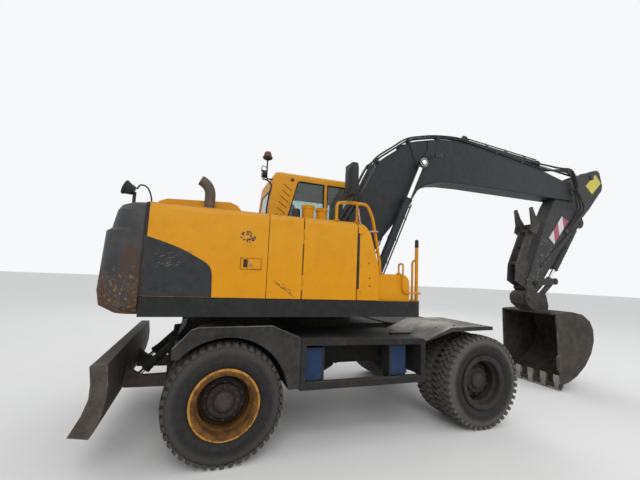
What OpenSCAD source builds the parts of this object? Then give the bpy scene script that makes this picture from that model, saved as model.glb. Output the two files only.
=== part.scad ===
/* [Undercarriage] */
// Distance between the two axles
wheelbase = 2850; // [2800:10:2900]
// Outer radius of a tyre
tyre_r = 515; // [505:1:520]
// Width of a tyre
tyre_w = 278; // [262:1:290]
// Distance between the two tyres of a twin wheel, middle to middle
twin_pitch = 320; // [305:1:330]
// Distance from the machine's middle to the outer face of the outer tyre
wheels_y = 1256; // [1240:1:1275]
// Radius of the rim's flange
rim_r = 298; // [290:1:305]
// Radius of the wheel hub
hub_r = 142; // [130:1:150]
// Height of the top of the chassis frame
frame_top = 1060; // [1050:1:1070]
// Height of the bottom of the chassis frame between the axles
frame_bottom = 580; // [560:1:620]
// Half the width of the chassis frame
frame_half = 330; // [300:1:345]
// Half the width of fenders and side frames
fender_half = 1240; // [1225:1:1250]
// Gap between a tyre and the arch over it
arch_gap = 42; // [30:1:50]

/* [Blade] */
// Half the width of the dozer blade
blade_half = 1245; // [1200:1:1260]
// Distance of the two blade arms from the middle
blade_arm_y = 402; // [380:1:430]

/* [Superstructure] */
// Distance of the swing axis in front of the rear axle
swing_x = 1150; // [1100:5:1200]
// Radius of the swing bearing
bearing_r = 560; // [520:1:600]
// Height of the underside of the deck
deck_bottom = 1250; // [1235:1:1262]
// Height of the top of the deck
deck_top = 1408; // [1395:1:1420]
// Half the width of the deck, the house and the cab
house_half = 1245; // [1235:1:1255]
// Height of the top of the house
house_top = 2205; // [2160:1:2240]
// Thickness of doors and of the house walls
wall = 38; // [30:1:42]
// Half the width of the well that the boom stands in
well_half = 320; // [315:1:335]
// Height of the cab roof
cab_top = 3125; // [3050:1:3200]
// Thickness of the cab walls
cab_wall = 45; // [38:1:50]

/* [Boom, arm and bucket] */
// Half the width of the boom
boom_half = 160; // [150:1:164]
// Half the width of the arm
arm_half = 118; // [105:1:119]
// Thickness of the boom and arm plates
plate = 22; // [16:1:24]
// Distance from the middle to each boom cylinder
boom_cyl_y = 240; // [238:1:242]
// Radius of the boom cylinder barrels
boom_cyl_r = 58; // [52:1:59]
// Radius of the arm cylinder barrel
arm_cyl_r = 62; // [56:1:66]
// Radius of the bucket cylinder barrel
bucket_cyl_r = 56; // [50:1:60]
// Half the width of the bucket
bucket_half = 500; // [450:5:600]

/* [Hidden] */
$fn = 64;

// All places below are measured from the rear axle; place() then moves the
// origin under the middle of the outline.
running = 0.5;
seat = 0.3;
gap = 6;

// Colours
yellow = [0.86, 0.55, 0.08];
charcoal = [0.2, 0.21, 0.22];
dark = [0.13, 0.13, 0.13];
dusty = [0.3, 0.28, 0.25];
rust = [0.36, 0.25, 0.18];
chrome = [0.8, 0.8, 0.8];
blue = [0.1, 0.25, 0.5];
glass = [0.35, 0.45, 0.5, 0.5];

// Helpers
module place() translate([-origin_x, 0, 0]) children();
module both_sides() {
    children();
    mirror([0, 1, 0]) children();
}
module side_profile(w, y = 0) translate([0, y + w / 2, 0]) rotate([90, 0, 0]) linear_extrude(w) children();
module ycyl(r, w, y = 0) translate([0, y + w / 2, 0]) rotate([90, 0, 0]) cylinder(r = r, h = w);
module at(p) translate([p[0], 0, p[1]]) children();
module block(x0, x1, y0, y1, z0, z1) translate([x0, y0, z0]) cube([x1 - x0, y1 - y0, z1 - z0]);
// A closed outline moved inwards by d, for outlines that run counter-clockwise
function edge_dir(a, b) = (b - a) / norm(b - a);
function left_of(d) = [-d[1], d[0]];
function cross2(a, b) = a[0] * b[1] - a[1] * b[0];
function meet(p, d, q, e) = p + d * (cross2(q - p, e) / cross2(d, e));
function inset(pts, d) = [for (i = [0 : len(pts) - 1])
    let (n = len(pts), a = pts[(i + n - 1) % n], b = pts[i], c = pts[(i + 1) % n],
         u = edge_dir(a, b), v = edge_dir(b, c))
    abs(cross2(u, v)) < 0.01 ? b + left_of(u) * d : meet(b + left_of(u) * d, u, b + left_of(v) * d, v)];
function angle_to(a, b) = atan2(b[1] - a[1], b[0] - a[0]);
// A round rail through a list of points, with its corners bent; side is any direction it never runs along
function corner(a, b, c, bend, t) = let (p = b - edge_dir(a, b) * bend, q = b + edge_dir(b, c) * bend)
    p * (1 - t) * (1 - t) + b * 2 * t * (1 - t) + q * t * t;
function bent(p, bend, steps) = concat([p[0]],
    [for (i = [1 : 1 : len(p) - 2]) for (k = [0 : steps]) corner(p[i - 1], p[i], p[i + 1], bend, k / steps)],
    [p[len(p) - 1]]);
function along(p, i) = edge_dir(p[max(i - 1, 0)], p[min(i + 1, len(p) - 1)]);
function ring(p, d, side, r, n) = let (u = cross(d, side) / norm(cross(d, side)), v = cross(d, u))
    [for (k = [0 : n - 1]) p + r * (u * cos(360 * k / n) + v * sin(360 * k / n))];
module rail(points, r, bend = 40, side = [0, 1, 0], n = 8, steps = 3) {
    path = len(points) > 2 ? bent(points, bend, steps) : points;
    last = len(path) - 1;
    polyhedron([for (i = [0 : last]) each ring(path[i], along(path, i), side, r, n)],
        concat([[for (k = [0 : n - 1]) k]], [[for (k = [n - 1 : -1 : 0]) last * n + k]],
            [for (i = [0 : last - 1]) for (k = [0 : n - 1])
                [i * n + k, (i + 1) * n + k, (i + 1) * n + (k + 1) % n, i * n + (k + 1) % n]]));
}
// The barrel and rod of a hydraulic cylinder from pin a to pin b; the tube starts past the eye
gland_h = 60;
piston_h = 40;
module barrel(a, b, length, r, bore, rod, eye, pin, w, y = 0) {
    neck = eye * 1.15;
    translate([a[0], y, a[1]]) rotate([0, -angle_to(a, b), 0]) difference() {
        union() {
            ycyl(eye, w);
            block(0, neck + 1, -w / 2, w / 2, -0.8 * eye, 0.8 * eye);
            translate([neck, 0, 0]) rotate([0, 90, 0]) cylinder(r = r, h = length - neck);
            translate([length - gland_h, 0, 0]) rotate([0, 90, 0]) cylinder(r = r + 6, h = gland_h);
        }
        ycyl(pin + running, w + 2);
        translate([neck + 12, 0, 0]) rotate([0, 90, 0]) cylinder(r = bore, h = length - neck - 12 - gland_h);
        translate([length - gland_h - 1, 0, 0]) rotate([0, 90, 0]) cylinder(r = rod + running, h = gland_h + 2);
    }
}
module piston_rod(a, b, length, bore, rod, eye, w, y = 0) {
    reach = norm(b - a);
    translate([a[0], y, a[1]]) rotate([0, -angle_to(a, b), 0]) {
        translate([reach, 0, 0]) ycyl(eye, w);
        translate([reach - length, 0, 0]) rotate([0, 90, 0]) cylinder(r = rod, h = length - eye * 0.5);
        translate([reach - length, 0, 0]) rotate([0, 90, 0]) cylinder(r = bore - running, h = piston_h);
    }
}

// Wheels
tyre_y = wheels_y - tyre_w / 2;
inner_y = tyre_y - twin_pitch;
hub_in = inner_y - tyre_w / 2 + 4;
hub_face = 1136;
bead_r = 254;
rim_t = 14;
module tyre_ring(y) {
    h = tyre_w / 2;
    translate([0, y, 0]) rotate([-90, 0, 0]) rotate_extrude($fn = 96) polygon([
        [bead_r, -h + 34], [rim_r + 12, -h + 22], [rim_r + 50, -h + 6], [tyre_r - 110, -h], [tyre_r - 45, -h + 8],
        [tyre_r - 10, -h + 24], [tyre_r, -h + 44], [tyre_r, h - 44], [tyre_r - 10, h - 24], [tyre_r - 45, h - 8],
        [tyre_r - 110, h], [rim_r + 50, h - 6], [rim_r + 12, h - 22], [bead_r, h - 34]]);
}
module tyres() {
    tyre_ring(inner_y);
    tyre_ring(tyre_y);
}
// One rim with its flanges, and the disc that joins it to the hub
module rim_ring(y, disc_y) {
    h = tyre_w / 2 - 34;
    r = bead_r - seat;
    // The flange follows the tyre's bead
    f = h + 12 * (rim_r - bead_r) / (rim_r + 12 - bead_r) + seat;
    translate([0, y, 0]) rotate([-90, 0, 0]) rotate_extrude($fn = 96) polygon([
        [r - rim_t, -f - 10], [rim_r, -f - 10], [rim_r, -f], [r, -h - seat], [r, h + seat], [rim_r, f],
        [rim_r, f + 10], [r - rim_t, f + 10]]);
    translate([0, disc_y, 0]) rotate([-90, 0, 0]) rotate_extrude($fn = 96) polygon([
        [hub_r - 20, 0], [hub_r + 40, 0], [r - 10, -60], [r - 10, -78], [hub_r + 34, -18], [hub_r - 20, -18]]);
}
module rims() {
    rim_ring(inner_y, inner_y + 40);
    rim_ring(tyre_y, tyre_y - 20);
    difference() {
        translate([0, hub_in, 0]) rotate([-90, 0, 0]) cylinder(r = hub_r, h = hub_face - hub_in);
        translate([0, hub_in - 1, 0]) rotate([-90, 0, 0]) cylinder(r = 60 + running, h = 81);
    }
    translate([0, hub_face, 0]) rotate([-90, 0, 0]) cylinder(r1 = hub_r - 42, r2 = hub_r - 60, h = 26);
}
module rear_wheel_place() translate([0, 0, tyre_r]) children();
module front_wheel_place() translate([wheelbase, 0, tyre_r]) children();

// Chassis
axle_z = tyre_r;
bearing_h = 90;
frame_rear = -450;
fender_in = frame_half + 60;
frame_front = wheelbase + 270;
knuckle_r = 68;
// The knuckle turns just inside the wheel's hub
kingpin_y = hub_in - knuckle_r - 4;
side_rear = 660;
side_front = wheelbase - 810;
frame_outline = [
    [frame_rear, 480], [-290, 480], [-270, 735], [270, 735], [300, frame_bottom], [wheelbase - 560, frame_bottom],
    [wheelbase - 500, 735], [wheelbase + 120, 735], [frame_front, 780], [frame_front, frame_top - 60],
    [frame_front - 60, frame_top], [frame_rear + 80, frame_top], [frame_rear, frame_top - 120]];
module chassis_frame() color(dusty) place() {
    difference() {
        side_profile(2 * frame_half) polygon(frame_outline);
        side_profile(2 * (frame_half - 25)) polygon(inset(frame_outline, 25));
    }
    // Deck plates beside and in front of the swing bearing
    block(side_front + 60, frame_front - 40, seat - fender_in, fender_in - seat, frame_top, frame_top + 14);
    // Lower half of the swing bearing
    translate([swing_x, 0, frame_top]) difference() {
        cylinder(r = bearing_r - 20, h = bearing_h, $fn = 96);
        translate([0, 0, -1]) cylinder(r = bearing_r - 120, h = bearing_h + 2, $fn = 96);
    }
    // Shelves that the blade's brackets are welded to
    both_sides() for (z = [[500, 540], [740, 760]])
        block(bracket_front, bracket_front + 60, frame_half - 20, blade_arm_y + ear_gap + ear_t, z[0], z[1]);
}
// Pairs of plates with their pins that carry the blade's arms and cylinders
bracket_front = -390;
ear_t = 24;
module blade_brackets() color(dusty) place() both_sides() {
    pins = [[blade_pivot, 24], [blade_cyl_a, 18]];
    for (s = [-1, 1]) difference() {
        side_profile(ear_t, blade_arm_y + s * (ear_gap + ear_t / 2)) polygon([[frame_rear - 70, blade_z - 60],
            [frame_rear - 70, blade_cyl_z + 50], [frame_rear + 30, blade_cyl_z + 60], [bracket_front, 800],
            [bracket_front, 480]]);
        for (p = pins) at(p[0]) ycyl(p[1], ear_t + 2, blade_arm_y + s * (ear_gap + ear_t / 2));
        side_profile(2 * frame_half) polygon(frame_outline);
    }
    // The pins end flush with the inner plates, which lie on the chassis
    for (p = pins) at(p[0]) ycyl(p[1], 2 * (ear_gap + ear_t) + 2, blade_arm_y + 1);
}
// The frames that stand out at each side between the wheels, with their step bar
module side_frames() color(dusty) place() both_sides() {
    y0 = fender_half - 60;
    difference() {
        side_profile(60, fender_half - 30) polygon([[side_rear, frame_bottom], [side_front, frame_bottom - 5],
            [side_front + 12, 990], [side_front - 8, 1020], [side_rear, 1048]]);
        side_profile(62, fender_half - 30) polygon([[side_rear + 50, frame_bottom + 62], [side_front - 45, frame_bottom + 58],
            [side_front - 45, 962], [side_rear + 50, 985]]);
    }
    // Step bar, top plate and the arms back to the chassis
    block(side_rear, side_front, fender_half - 180, y0 + 0.01, frame_bottom, frame_bottom + 30);
    block(side_rear, side_front, frame_half, y0 + 0.01, 985, 1010);
    for (x = [side_rear, side_front - 40]) block(x, x + 40, frame_half, y0 + 0.01, 640, 990);
    for (x = box_uprights) block(x, x + 20, fender_half - 180, y0 + 0.01, frame_bottom, 990);
}
box_uprights = [side_rear + 235, side_front - 400];
box_w = 180;
module tool_boxes() color(blue) place() both_sides()
    for (x = [box_uprights[0] - box_w, box_uprights[1] + 20])
        block(x, x + box_w, fender_half - 240, fender_half - 62, frame_bottom + 66, 950);
fender_top = 1160;
module rear_fenders() color(dusty) place() both_sides() {
    y0 = frame_half;
    outline = [[-455, 985], [-311, 1142], [-250, fender_top], [380, fender_top + 8], [640, 1060], [656, 1040],
        [656, 600], [600, 600], [-455, 600]];
    intersection() {
        difference() {
            side_profile(fender_half - y0, (fender_half + y0) / 2) polygon(outline);
            side_profile(fender_half, fender_half / 2 + y0 - 1) translate([0, axle_z])
                circle(r = tyre_r + arch_gap, $fn = 96);
            block(-700, -20, y0 - 1, fender_half + 1, 500, 900);
            block(-700, -310, y0 - 1, blade_arm_y + ear_gap + 32, 500, 1200);
            // Hollow between the outer skin, the arch and the top
            side_profile(fender_half - y0 - 60, (fender_half + y0) / 2 - 10) difference() {
                polygon(inset(outline, 22));
                translate([0, axle_z]) circle(r = tyre_r + arch_gap + 20, $fn = 96);
                translate([-700, 480]) square([720, 440]);
            }
        }
        block(-800, 656, y0, fender_half, 600, 1300);
    }
}
module front_fenders() color(dusty) place() both_sides() {
    side_profile(fender_half - fender_in, (fender_half + fender_in) / 2) polygon([
        [side_front + 16, 1000], [side_front + 24, 985], [wheelbase - 440, 1085], [wheelbase + 150, 1096],
        [wheelbase + 150, 1134], [wheelbase + 100, 1140], [wheelbase - 450, 1132], [side_front + 100, 1030]]);
    block(side_front - 200, side_front + 120, fender_half - 400, fender_half - 340, 1010, 1030);
}
module rear_axle() color(dusty) place() rear_wheel_place() {
    rotate([90, 0, 0]) cylinder(r = 105, h = 2 * hub_in - 120, center = true);
    intersection() {
        sphere(r = 208);
        block(-208, 208, -150, 150, -208, 208);
    }
    both_sides() {
        translate([0, hub_in - 160, 0]) rotate([-90, 0, 0]) cylinder(r1 = 120, r2 = 168, h = 155);
        translate([0, hub_in - 6, 0]) rotate([-90, 0, 0]) cylinder(r = 60, h = 76);
        block(-120, 120, 220, 320, 60, 735 - axle_z);
    }
}
knuckle_h = 150;
module front_axle() color(dusty) place() front_wheel_place() {
    rotate([90, 0, 0]) cylinder(r = 95, h = 2 * kingpin_y - 300, center = true);
    intersection() {
        sphere(r = 190);
        block(-190, 190, -140, 140, -190, 190);
    }
    // Pivot block under the frame
    block(-150, 150, -90, 90, 120, 735 - axle_z);
    both_sides() {
        axle_fork();
        translate([0, kingpin_y, -knuckle_h - 34]) cylinder(r = 34, h = 2 * knuckle_h + 68);
    }
}
// The fork at the end of the steered axle that holds the knuckle
module axle_fork() {
    for (s = [-1, 1]) translate([0, kingpin_y, s * (knuckle_h + 17)]) cylinder(r = 75, h = 34, center = true);
    for (s = [-1, 1]) block(-60, 60, kingpin_y - 200, kingpin_y, s * (knuckle_h + 17) - 17, s * (knuckle_h + 17) + 17);
    block(-70, 70, kingpin_y - 200, kingpin_y - 125, -knuckle_h - 34, knuckle_h + 34);
}
module knuckle() difference() {
    union() {
        translate([0, kingpin_y, 0]) cylinder(r = knuckle_r, h = 2 * (knuckle_h - seat), center = true);
        translate([0, kingpin_y, 0]) rotate([-90, 0, 0]) cylinder(r = 100, h = hub_in - kingpin_y - 5);
        translate([0, hub_in - 6, 0]) rotate([-90, 0, 0]) cylinder(r = 60, h = 76);
    }
    translate([0, kingpin_y, 0]) cylinder(r = 34 + running, h = 400, center = true);
}

// Blade
blade_z = 520;
blade_pivot = [frame_rear - 30, blade_z];
blade_cyl_z = 900;
blade_cyl_a = [frame_rear - 10, blade_cyl_z];
blade_cyl_b = [-800, 560];
// Half the width between the two ears that hold an arm of the blade
ear_gap = 48;
blade_arm_w = 2 * (ear_gap - seat);
blade_outline = [[-946, 395], [-973, 352], [-1113, 378], [-1040, 520], [-1002, 639], [-1000, 748], [-1018, 880],
    [-1000, 896], [-900, 896], [-881, 739], [-885, 631], [-905, 524]];
module blade() color(rust) place() {
    side_profile(2 * blade_half) polygon([for (i = [len(blade_outline) - 1 : -1 : 0]) blade_outline[i]]);
    both_sides() {
        difference() {
            union() {
                side_profile(76, blade_arm_y) polygon([[-900, 470], [blade_pivot[0], blade_z - 60],
                    [blade_pivot[0], blade_z + 60], [-740, 575], [-800, 602], [-850, 640], [-895, 700]]);
                at(blade_pivot) ycyl(60, blade_arm_w, blade_arm_y);
            }
            at(blade_pivot) ycyl(24 + running, blade_arm_w + 2, blade_arm_y);
            at(blade_cyl_b) block(-75, 240, blade_arm_y - 22, blade_arm_y + 22, -75, 400);
        }
    }
}
module blade_barrels() color(dusty) place() both_sides()
    barrel(blade_cyl_a, blade_cyl_b, 370, 40, 32, 20, 34, 18, blade_arm_w, blade_arm_y);
module blade_rods() color(chrome) place() both_sides()
    piston_rod(blade_cyl_a, blade_cyl_b, 350, 32, 20, 32, 2 * (22 - seat), blade_arm_y);

// Deck
deck_rear = -735;
deck_front = 2022;
boom_foot = [1450, 1750];
boom_cyl_a = [1930, 1500];
ear = 18;
module deck_plan(in) {
    r = 130;
    union() {
        translate([deck_rear + in, -house_half + in]) square([deck_front - deck_rear - r - in, 2 * (house_half - in)]);
        translate([deck_rear + in, -house_half + r]) square([deck_front - deck_rear - 2 * in, 2 * (house_half - r)]);
        for (s = [-1, 1]) translate([deck_front - r, s * (house_half - r)]) circle(r = r - in);
    }
}
module deck() color(dark) place() {
    difference() {
        translate([0, 0, deck_bottom]) linear_extrude(deck_top - deck_bottom) deck_plan(0);
        translate([0, 0, deck_bottom + 14]) linear_extrude(deck_top - deck_bottom - 34) deck_plan(50);
    }
    both_sides() block(deck_rear + 50, deck_front - 50, 160, 210, deck_bottom + 14, deck_top - 20);
    // Upper half of the swing bearing
    ring_h = deck_bottom - frame_top - bearing_h - seat;
    translate([swing_x, 0, deck_bottom - ring_h]) difference() {
        cylinder(r = bearing_r, h = ring_h, $fn = 96);
        translate([0, 0, -1]) cylinder(r = bearing_r - 120, h = ring_h + 1, $fn = 96);
    }
    // The tail that carries the counterweight
    block(deck_rear - 170, deck_rear + 1, -620, 620, deck_bottom, cw_bottom);
    // Brackets and pins of the boom's foot and of the boom cylinders
    both_sides() {
        side_profile(36, boom_half + 6 + 18) polygon([[1130, deck_top], [1760, deck_top],
            boom_foot + [125, -10], boom_foot + [90, 90], boom_foot + [0, 130], boom_foot + [-90, 95]]);
        for (y = [boom_cyl_y - 66, boom_cyl_y + 66]) side_profile(ear, y) polygon([[boom_cyl_a[0] - 150, deck_top],
            [boom_cyl_a[0] + 85, deck_top], boom_cyl_a + [70, 10], boom_cyl_a + [40, 60], boom_cyl_a + [-40, 60],
            boom_cyl_a + [-70, 10]]);
        at(boom_cyl_a) ycyl(34, 146, boom_cyl_y);
    }
    at(boom_foot) ycyl(50, 2 * boom_half + 90);
}

// Counterweight: one plan with round corners at several levels, set in at its rear and at its sides
cw_front = -745;
cw_bottom = 1265;
cw_top = house_top - 4;
cw_corner = 190;
cw_rear = -1070;
module cw_plan(rear_in, side_in) intersection() {
    half = house_half - 5 - side_in;
    hull() {
        for (s = [-1, 1]) translate([cw_rear + cw_corner + rear_in, s * (half - cw_corner)])
            circle(r = cw_corner, $fn = 32);
        translate([cw_rear + 360 + rear_in, 0]) circle(r = 400, $fn = 32);
        translate([cw_front, 0]) square([10, 2 * half], center = true);
    }
    translate([cw_rear - 200, -house_half]) square([cw_front - cw_rear + 200, 2 * house_half]);
}
// Each level holds its height, its inset at the rear and its inset at the sides
module cw_layer(levels) hull() for (l = levels) translate([0, 0, l[0]]) linear_extrude(1) cw_plan(l[1], l[2]);
module counterweight() color(charcoal) place() {
    cw_layer([[cw_bottom, 117, 70], [1329, 19, 12], [1449, 0, 0], [1937, 24, 0], [1962, 58, 0]]);
    cw_layer([[1955, 62, 0], [2017, 72, 0], [cw_top - 130, 84, 4], [cw_top - 80, 90, 14], [cw_top - 31, 112, 45],
        [cw_top - 1, 160, 95]]);
}

// House: the fixed walls and top behind, beside and in front of the doors
door_z0 = deck_top + 7;
door_z1 = house_top - 10;
bay_front = 500;
house_front = 1462;
door_rear = deck_rear + 13;
door_split = 293;
door_end = 630;
slot_x = 1205;
door_r = 55;
top_y = house_half - door_r - gap;
module door_skin(x0, x1) {
    r = door_r;
    translate([x0, 0, 0]) rotate([90, 0, 90]) linear_extrude(x1 - x0) {
        translate([house_half - wall, door_z0]) square([wall, door_z1 - r - door_z0]);
        intersection() {
            difference() {
                translate([house_half - r, door_z1 - r]) circle(r = r);
                translate([house_half - r, door_z1 - r]) circle(r = r - wall);
            }
            translate([house_half - r, door_z1 - r]) square(r + 1);
        }
    }
}
// The bay beside the boom, whose front leans back towards its top
front_top = 1262;
function bay_outline(in) = [[bay_front - 1, deck_top - in], [house_front - in, deck_top - in], [house_front - 8 - in, 1764],
    [1352 - in, 2100], [front_top - in, house_top + in / 4], [bay_front - 1, house_top + in / 4]];
module house() color(yellow) place() {
    y_in = house_half - wall - gap;
    difference() {
        union() {
            block(deck_rear, bay_front, -y_in, y_in, deck_top, house_top);
            side_profile(y_in - well_half, -(y_in + well_half) / 2) polygon(bay_outline(0));
        }
        block(deck_rear + wall, bay_front - wall, -y_in + wall, y_in - wall, deck_top - 1, house_top - 30);
        block(bay_front - wall - 1, door_end, -y_in + wall, -well_half - wall, deck_top - 1, house_top - 30);
        side_profile(y_in - well_half - 2 * wall, -(y_in + well_half) / 2) intersection() {
            polygon(bay_outline(wall));
            translate([door_end + wall, deck_top - 1]) square([house_front, house_top - 29 - deck_top]);
        }
        // Doorways
        block(door_rear + 40, door_split - 20, -house_half, -y_in + wall + 1, deck_top + 50, house_top - 60);
        block(door_split + 20, door_end - 20, -house_half, -y_in + wall + 1, deck_top + 50, house_top - 60);
        block(door_rear + 40, bay_front - 80, y_in - wall - 1, house_half, deck_top + 50, house_top - 60);
        // Room for the bent top edges of the doors
        for (s = [[-house_half - 1, -top_y, door_end + 12], [top_y, house_half + 1, bay_front - 24]])
            block(deck_rear - 1, s[2], s[0], s[1], door_z1 - door_r - gap, house_top + 1);
        // Opening under the hood
        block(deck_rear + 75, 40, 45 - hood_half, hood_half - 45, house_top - 40, house_top + 1);
        // Slot beside the front panel
        block(slot_x, slot_x + 12, -y_in - 1, -y_in + 8, 1500, 2120);
    }
    mirror([0, 1, 0]) {
        door_skin(door_end + 8, slot_x - 3);
        intersection() {
            door_skin(slot_x + 9, house_front);
            side_profile(200, house_half) polygon(bay_outline(0));
        }
        block(door_end + 10, front_top - 20, y_in - 1, y_in + gap + 1, deck_top + 10, house_top - 70);
        door_lugs(door_end) block(0, 10, -6, 0, 0, lug_h);
    }
    both_sides() door_lugs(door_rear - 4) block(-7, -1.5, y_in - house_half, 0, 0, lug_h);
    hood_lugs();
}
module engine() color(dark) place() block(-520, 240, -house_half / 2, house_half / 2, deck_top, house_top - 145);
hood_rear = -712;
hood_front = 84;
hood_half = house_half - 360;
hood_rise = 130;
hood_pin_r = 9;
hood_hinge = [hood_front + 12, house_top + 12];
hood_knuckle_w = 90;
hood_knuckle_y = [-0.7 * hood_half, 0.7 * hood_half];
module hood_lugs() for (y = hood_knuckle_y, s = [-1, 1]) {
    lug_y = y + s * (hood_knuckle_w / 2 + 15 + seat);
    at(hood_hinge) ycyl(hood_pin_r, 30, lug_y);
    block(hood_hinge[0] - 7, hood_hinge[0] + 7, lug_y - 15, lug_y + 15, house_top - 1, hood_hinge[1]);
}
module hood() color(yellow) place() {
    z0 = house_top + seat;
    difference() {
        side_profile(2 * hood_half) polygon([[hood_rear, z0], [hood_front, z0], [hood_front - 6, z0 + 45],
            [hood_front - 60, z0 + 105], [hood_front - 130, z0 + hood_rise], [hood_rear + 90, z0 + hood_rise - 30],
            [hood_rear + 20, z0 + hood_rise - 60]]);
        side_profile(2 * hood_half - 50) polygon([[hood_rear + 25, z0 - 1], [hood_front - 25, z0 - 1],
            [hood_front - 30, z0 + 32], [hood_front - 75, z0 + 82], [hood_front - 135, z0 + hood_rise - 25],
            [hood_rear + 100, z0 + hood_rise - 55], [hood_rear + 45, z0 + hood_rise - 80]]);
    }
    for (y = hood_knuckle_y) {
        at(hood_hinge) ycyl(hood_pin_r, hood_knuckle_w, y);
        block(hood_front - 8, hood_hinge[0], y - hood_knuckle_w / 2, y + hood_knuckle_w / 2, hood_hinge[1] - 3,
            hood_hinge[1] + 3);
    }
}
// A side door with its hinge knuckles, which turn on pins between lugs of the house
knuckle_z = [door_z0 + 120, door_z1 - 220];
door_pin_h = 70;
lug_h = 34;
hinge_y = house_half - 0.5;
module door_lugs(x) for (z = knuckle_z) for (dz = [-lug_h - seat, door_pin_h + seat]) {
    translate([x, hinge_y, z + dz]) cylinder(r = 3.5, h = lug_h);
    translate([x, hinge_y, z + dz]) children();
}
module side_door(x0, x1, hinge_x) {
    door_skin(x0, x1);
    for (z = knuckle_z) translate([hinge_x, hinge_y, z]) cylinder(r = 4.5, h = door_pin_h);
}
module door_rear_right() color(yellow) place() mirror([0, 1, 0])
    side_door(door_rear, door_split - 3, door_rear - 4);
module door_front_right() color(yellow) place() mirror([0, 1, 0])
    side_door(door_split + 3, door_end - 4, door_end);
// Cooling slots of the left door, in two columns
grille_n = 9;
module door_left() color(yellow) place() difference() {
    side_door(door_rear, bay_front - 30, door_rear - 4);
    for (x = [-330, 20], i = [0 : grille_n - 1])
        block(x - 120, x + 120, house_half - wall - 1, house_half + 1, 1560 + 48 * i, 1560 + 48 * i + 18);
}

// Exhaust: a round stack that bends to the rear
exhaust_at = [-245, 215 - house_half];
module exhaust() color(rust) place() translate([exhaust_at[0], exhaust_at[1], house_top]) {
    difference() {
        union() {
            cylinder(r = 70, h = 12);
            rail([[0, 0, 4], [0, 0, 230], exhaust_end], 48, 90, n = 24, steps = 6);
        }
        rail([[0, 0, 60], [0, 0, 230], exhaust_end * 1.02 - [0, 0, 4.6]], 42, 90, n = 24, steps = 6);
    }
}
exhaust_end = [-92, 0, 279];
module fillers() color(yellow) place() {
    // x, radius, height
    for (f = [[730, 62, 150], [880, 56, 135], [600, 34, 100]]) translate([f[0], 225 - house_half, house_top]) {
        cylinder(r = f[1], h = f[2] - 30);
        translate([0, 0, f[2] - 30]) cylinder(r = f[1] + 6, h = 30);
    }
}
rail_r = 17;
module handrails() color(yellow) place() {
    // Loop on the house top that runs down its front to the deck
    rail([[985, rail_y, house_top], [985, rail_y, 2395], [1120, rail_y, 2412], [1330, rail_y, 2412],
        [1400, rail_y, 2280], [1462, rail_y, 1990], [1500, rail_y, 1790], [1500, rail_y, step_top]], rail_r, 45);
    // Hand loop inside it
    rail([[1215, rail_y, house_top], [1215, rail_y, 2412]], rail_r - 5);
    // Step rail and posts at the deck's front corner
    rail([[1998, post_y, 1497], [1998, step_rail_y, 1497], [1790, step_rail_y, 1497], [1766, step_rail_y, 1550],
        [1766, step_rail_y, 1806], [1766, post_y, 1806], [1766, post_y, step_top]], 10, 22, [1, 1, 1]);
    rail([[1998, post_y, deck_top], [1998, post_y, 2087]], 19);
    rail([[1942, post_y, deck_top], [1942, post_y, 1840], [1998, post_y, 1875]], 13, 20);
    // Rail at the cab's left front corner
    rail([[cab_front + 45 + seat, rail_y_left, 1850], [cab_front + 110, rail_y_left, 1850],
        [cab_front + 100, rail_y_left, 2400], [cab_front + 30, rail_y_left, 2400]], 12);
}
step_front = 1862;
step_top = deck_top + 282;
rail_y = -house_half + 60;
rail_y_left = house_half - 42;
post_y = -house_half + 106;
step_rail_y = -house_half + 24;
module step_box() color(yellow) place() side_profile(house_half - 470, -(house_half + 380) / 2) {
    difference() {
        translate([house_front, deck_top]) square([step_front - house_front, step_top - deck_top]);
        translate([step_front - 90, step_top - 90]) square(91);
    }
    translate([step_front - 90, step_top - 90]) circle(r = 90);
}
module mirror_head() block(-30, 30, -85, 85, -160, 160);
mirror_y = 1290;
module mirrors() color(dark) place() {
    // Right mirror on its stay from the handrail
    translate([1090, -mirror_y, 2620]) mirror_head();
    rail([[1150, rail_y - rail_r - seat, 2440], [1150, 40 - mirror_y, 2440], [1150, 40 - mirror_y, 2620],
        [1105, 40 - mirror_y, 2620]], 11, 15, [1, 1, 1]);
    // Left mirror on its stay from the cab's side
    translate([cab_front + 85, mirror_y, 2650]) mirror_head();
    rail([[cab_front - 45, cab_y1 + seat, 2560], [cab_front - 45, mirror_y, 2560], [cab_front + 85, mirror_y, 2560]],
        11, 18, [1, 1, 1]);
}
// The rear wall of the cab at a height
function cab_back(z) = cab_rear + 50 * (z - 2500) / (cab_top - 2600);
module lamps() color(dark) place() {
    // Lamp on the rear right corner
    translate([-850, 215 - house_half, cw_top]) {
        translate([-24, 0, 0]) cylinder(r = 14, h = 100);
        translate([-30, 0, 110]) rotate([0, -70, 0]) cylinder(r1 = 38, r2 = 62, h = 80);
    }
    // Beacon and rear lamp on a stay from the cab's rear wall
    z = cab_top - 125;
    rail([[cab_back(z - 11) - seat, lamp_y, z], [cab_rear - 40, lamp_y, z], [cab_rear - 40, lamp_y, cab_top + 165]], 11, 30);
    translate([cab_rear - 40, lamp_y, cab_top + 160]) cylinder(r = 46, h = 40);
    translate([cab_rear - 40, lamp_y, cab_top + 200]) cylinder(r1 = 42, r2 = 36, h = 70);
    translate([cab_rear - 102, lamp_y, cab_top - 60]) rotate([0, 90, 0]) cylinder(r = 55, h = 60);
    // Work lamps on brackets at the roof's front edge
    for (y = [430, 1110]) {
        translate([cab_front - 15, y, cab_top - 60]) rotate([0, 90, 0]) cylinder(r = 42, h = 60);
        side_profile(30, y) polygon([[cab_front - 25, cab_top - 110], [cab_front - 5, cab_top - 95],
            [cab_front - 5, cab_top - 40], [cab_front - 55, cab_top - 50]]);
    }
}

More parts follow.
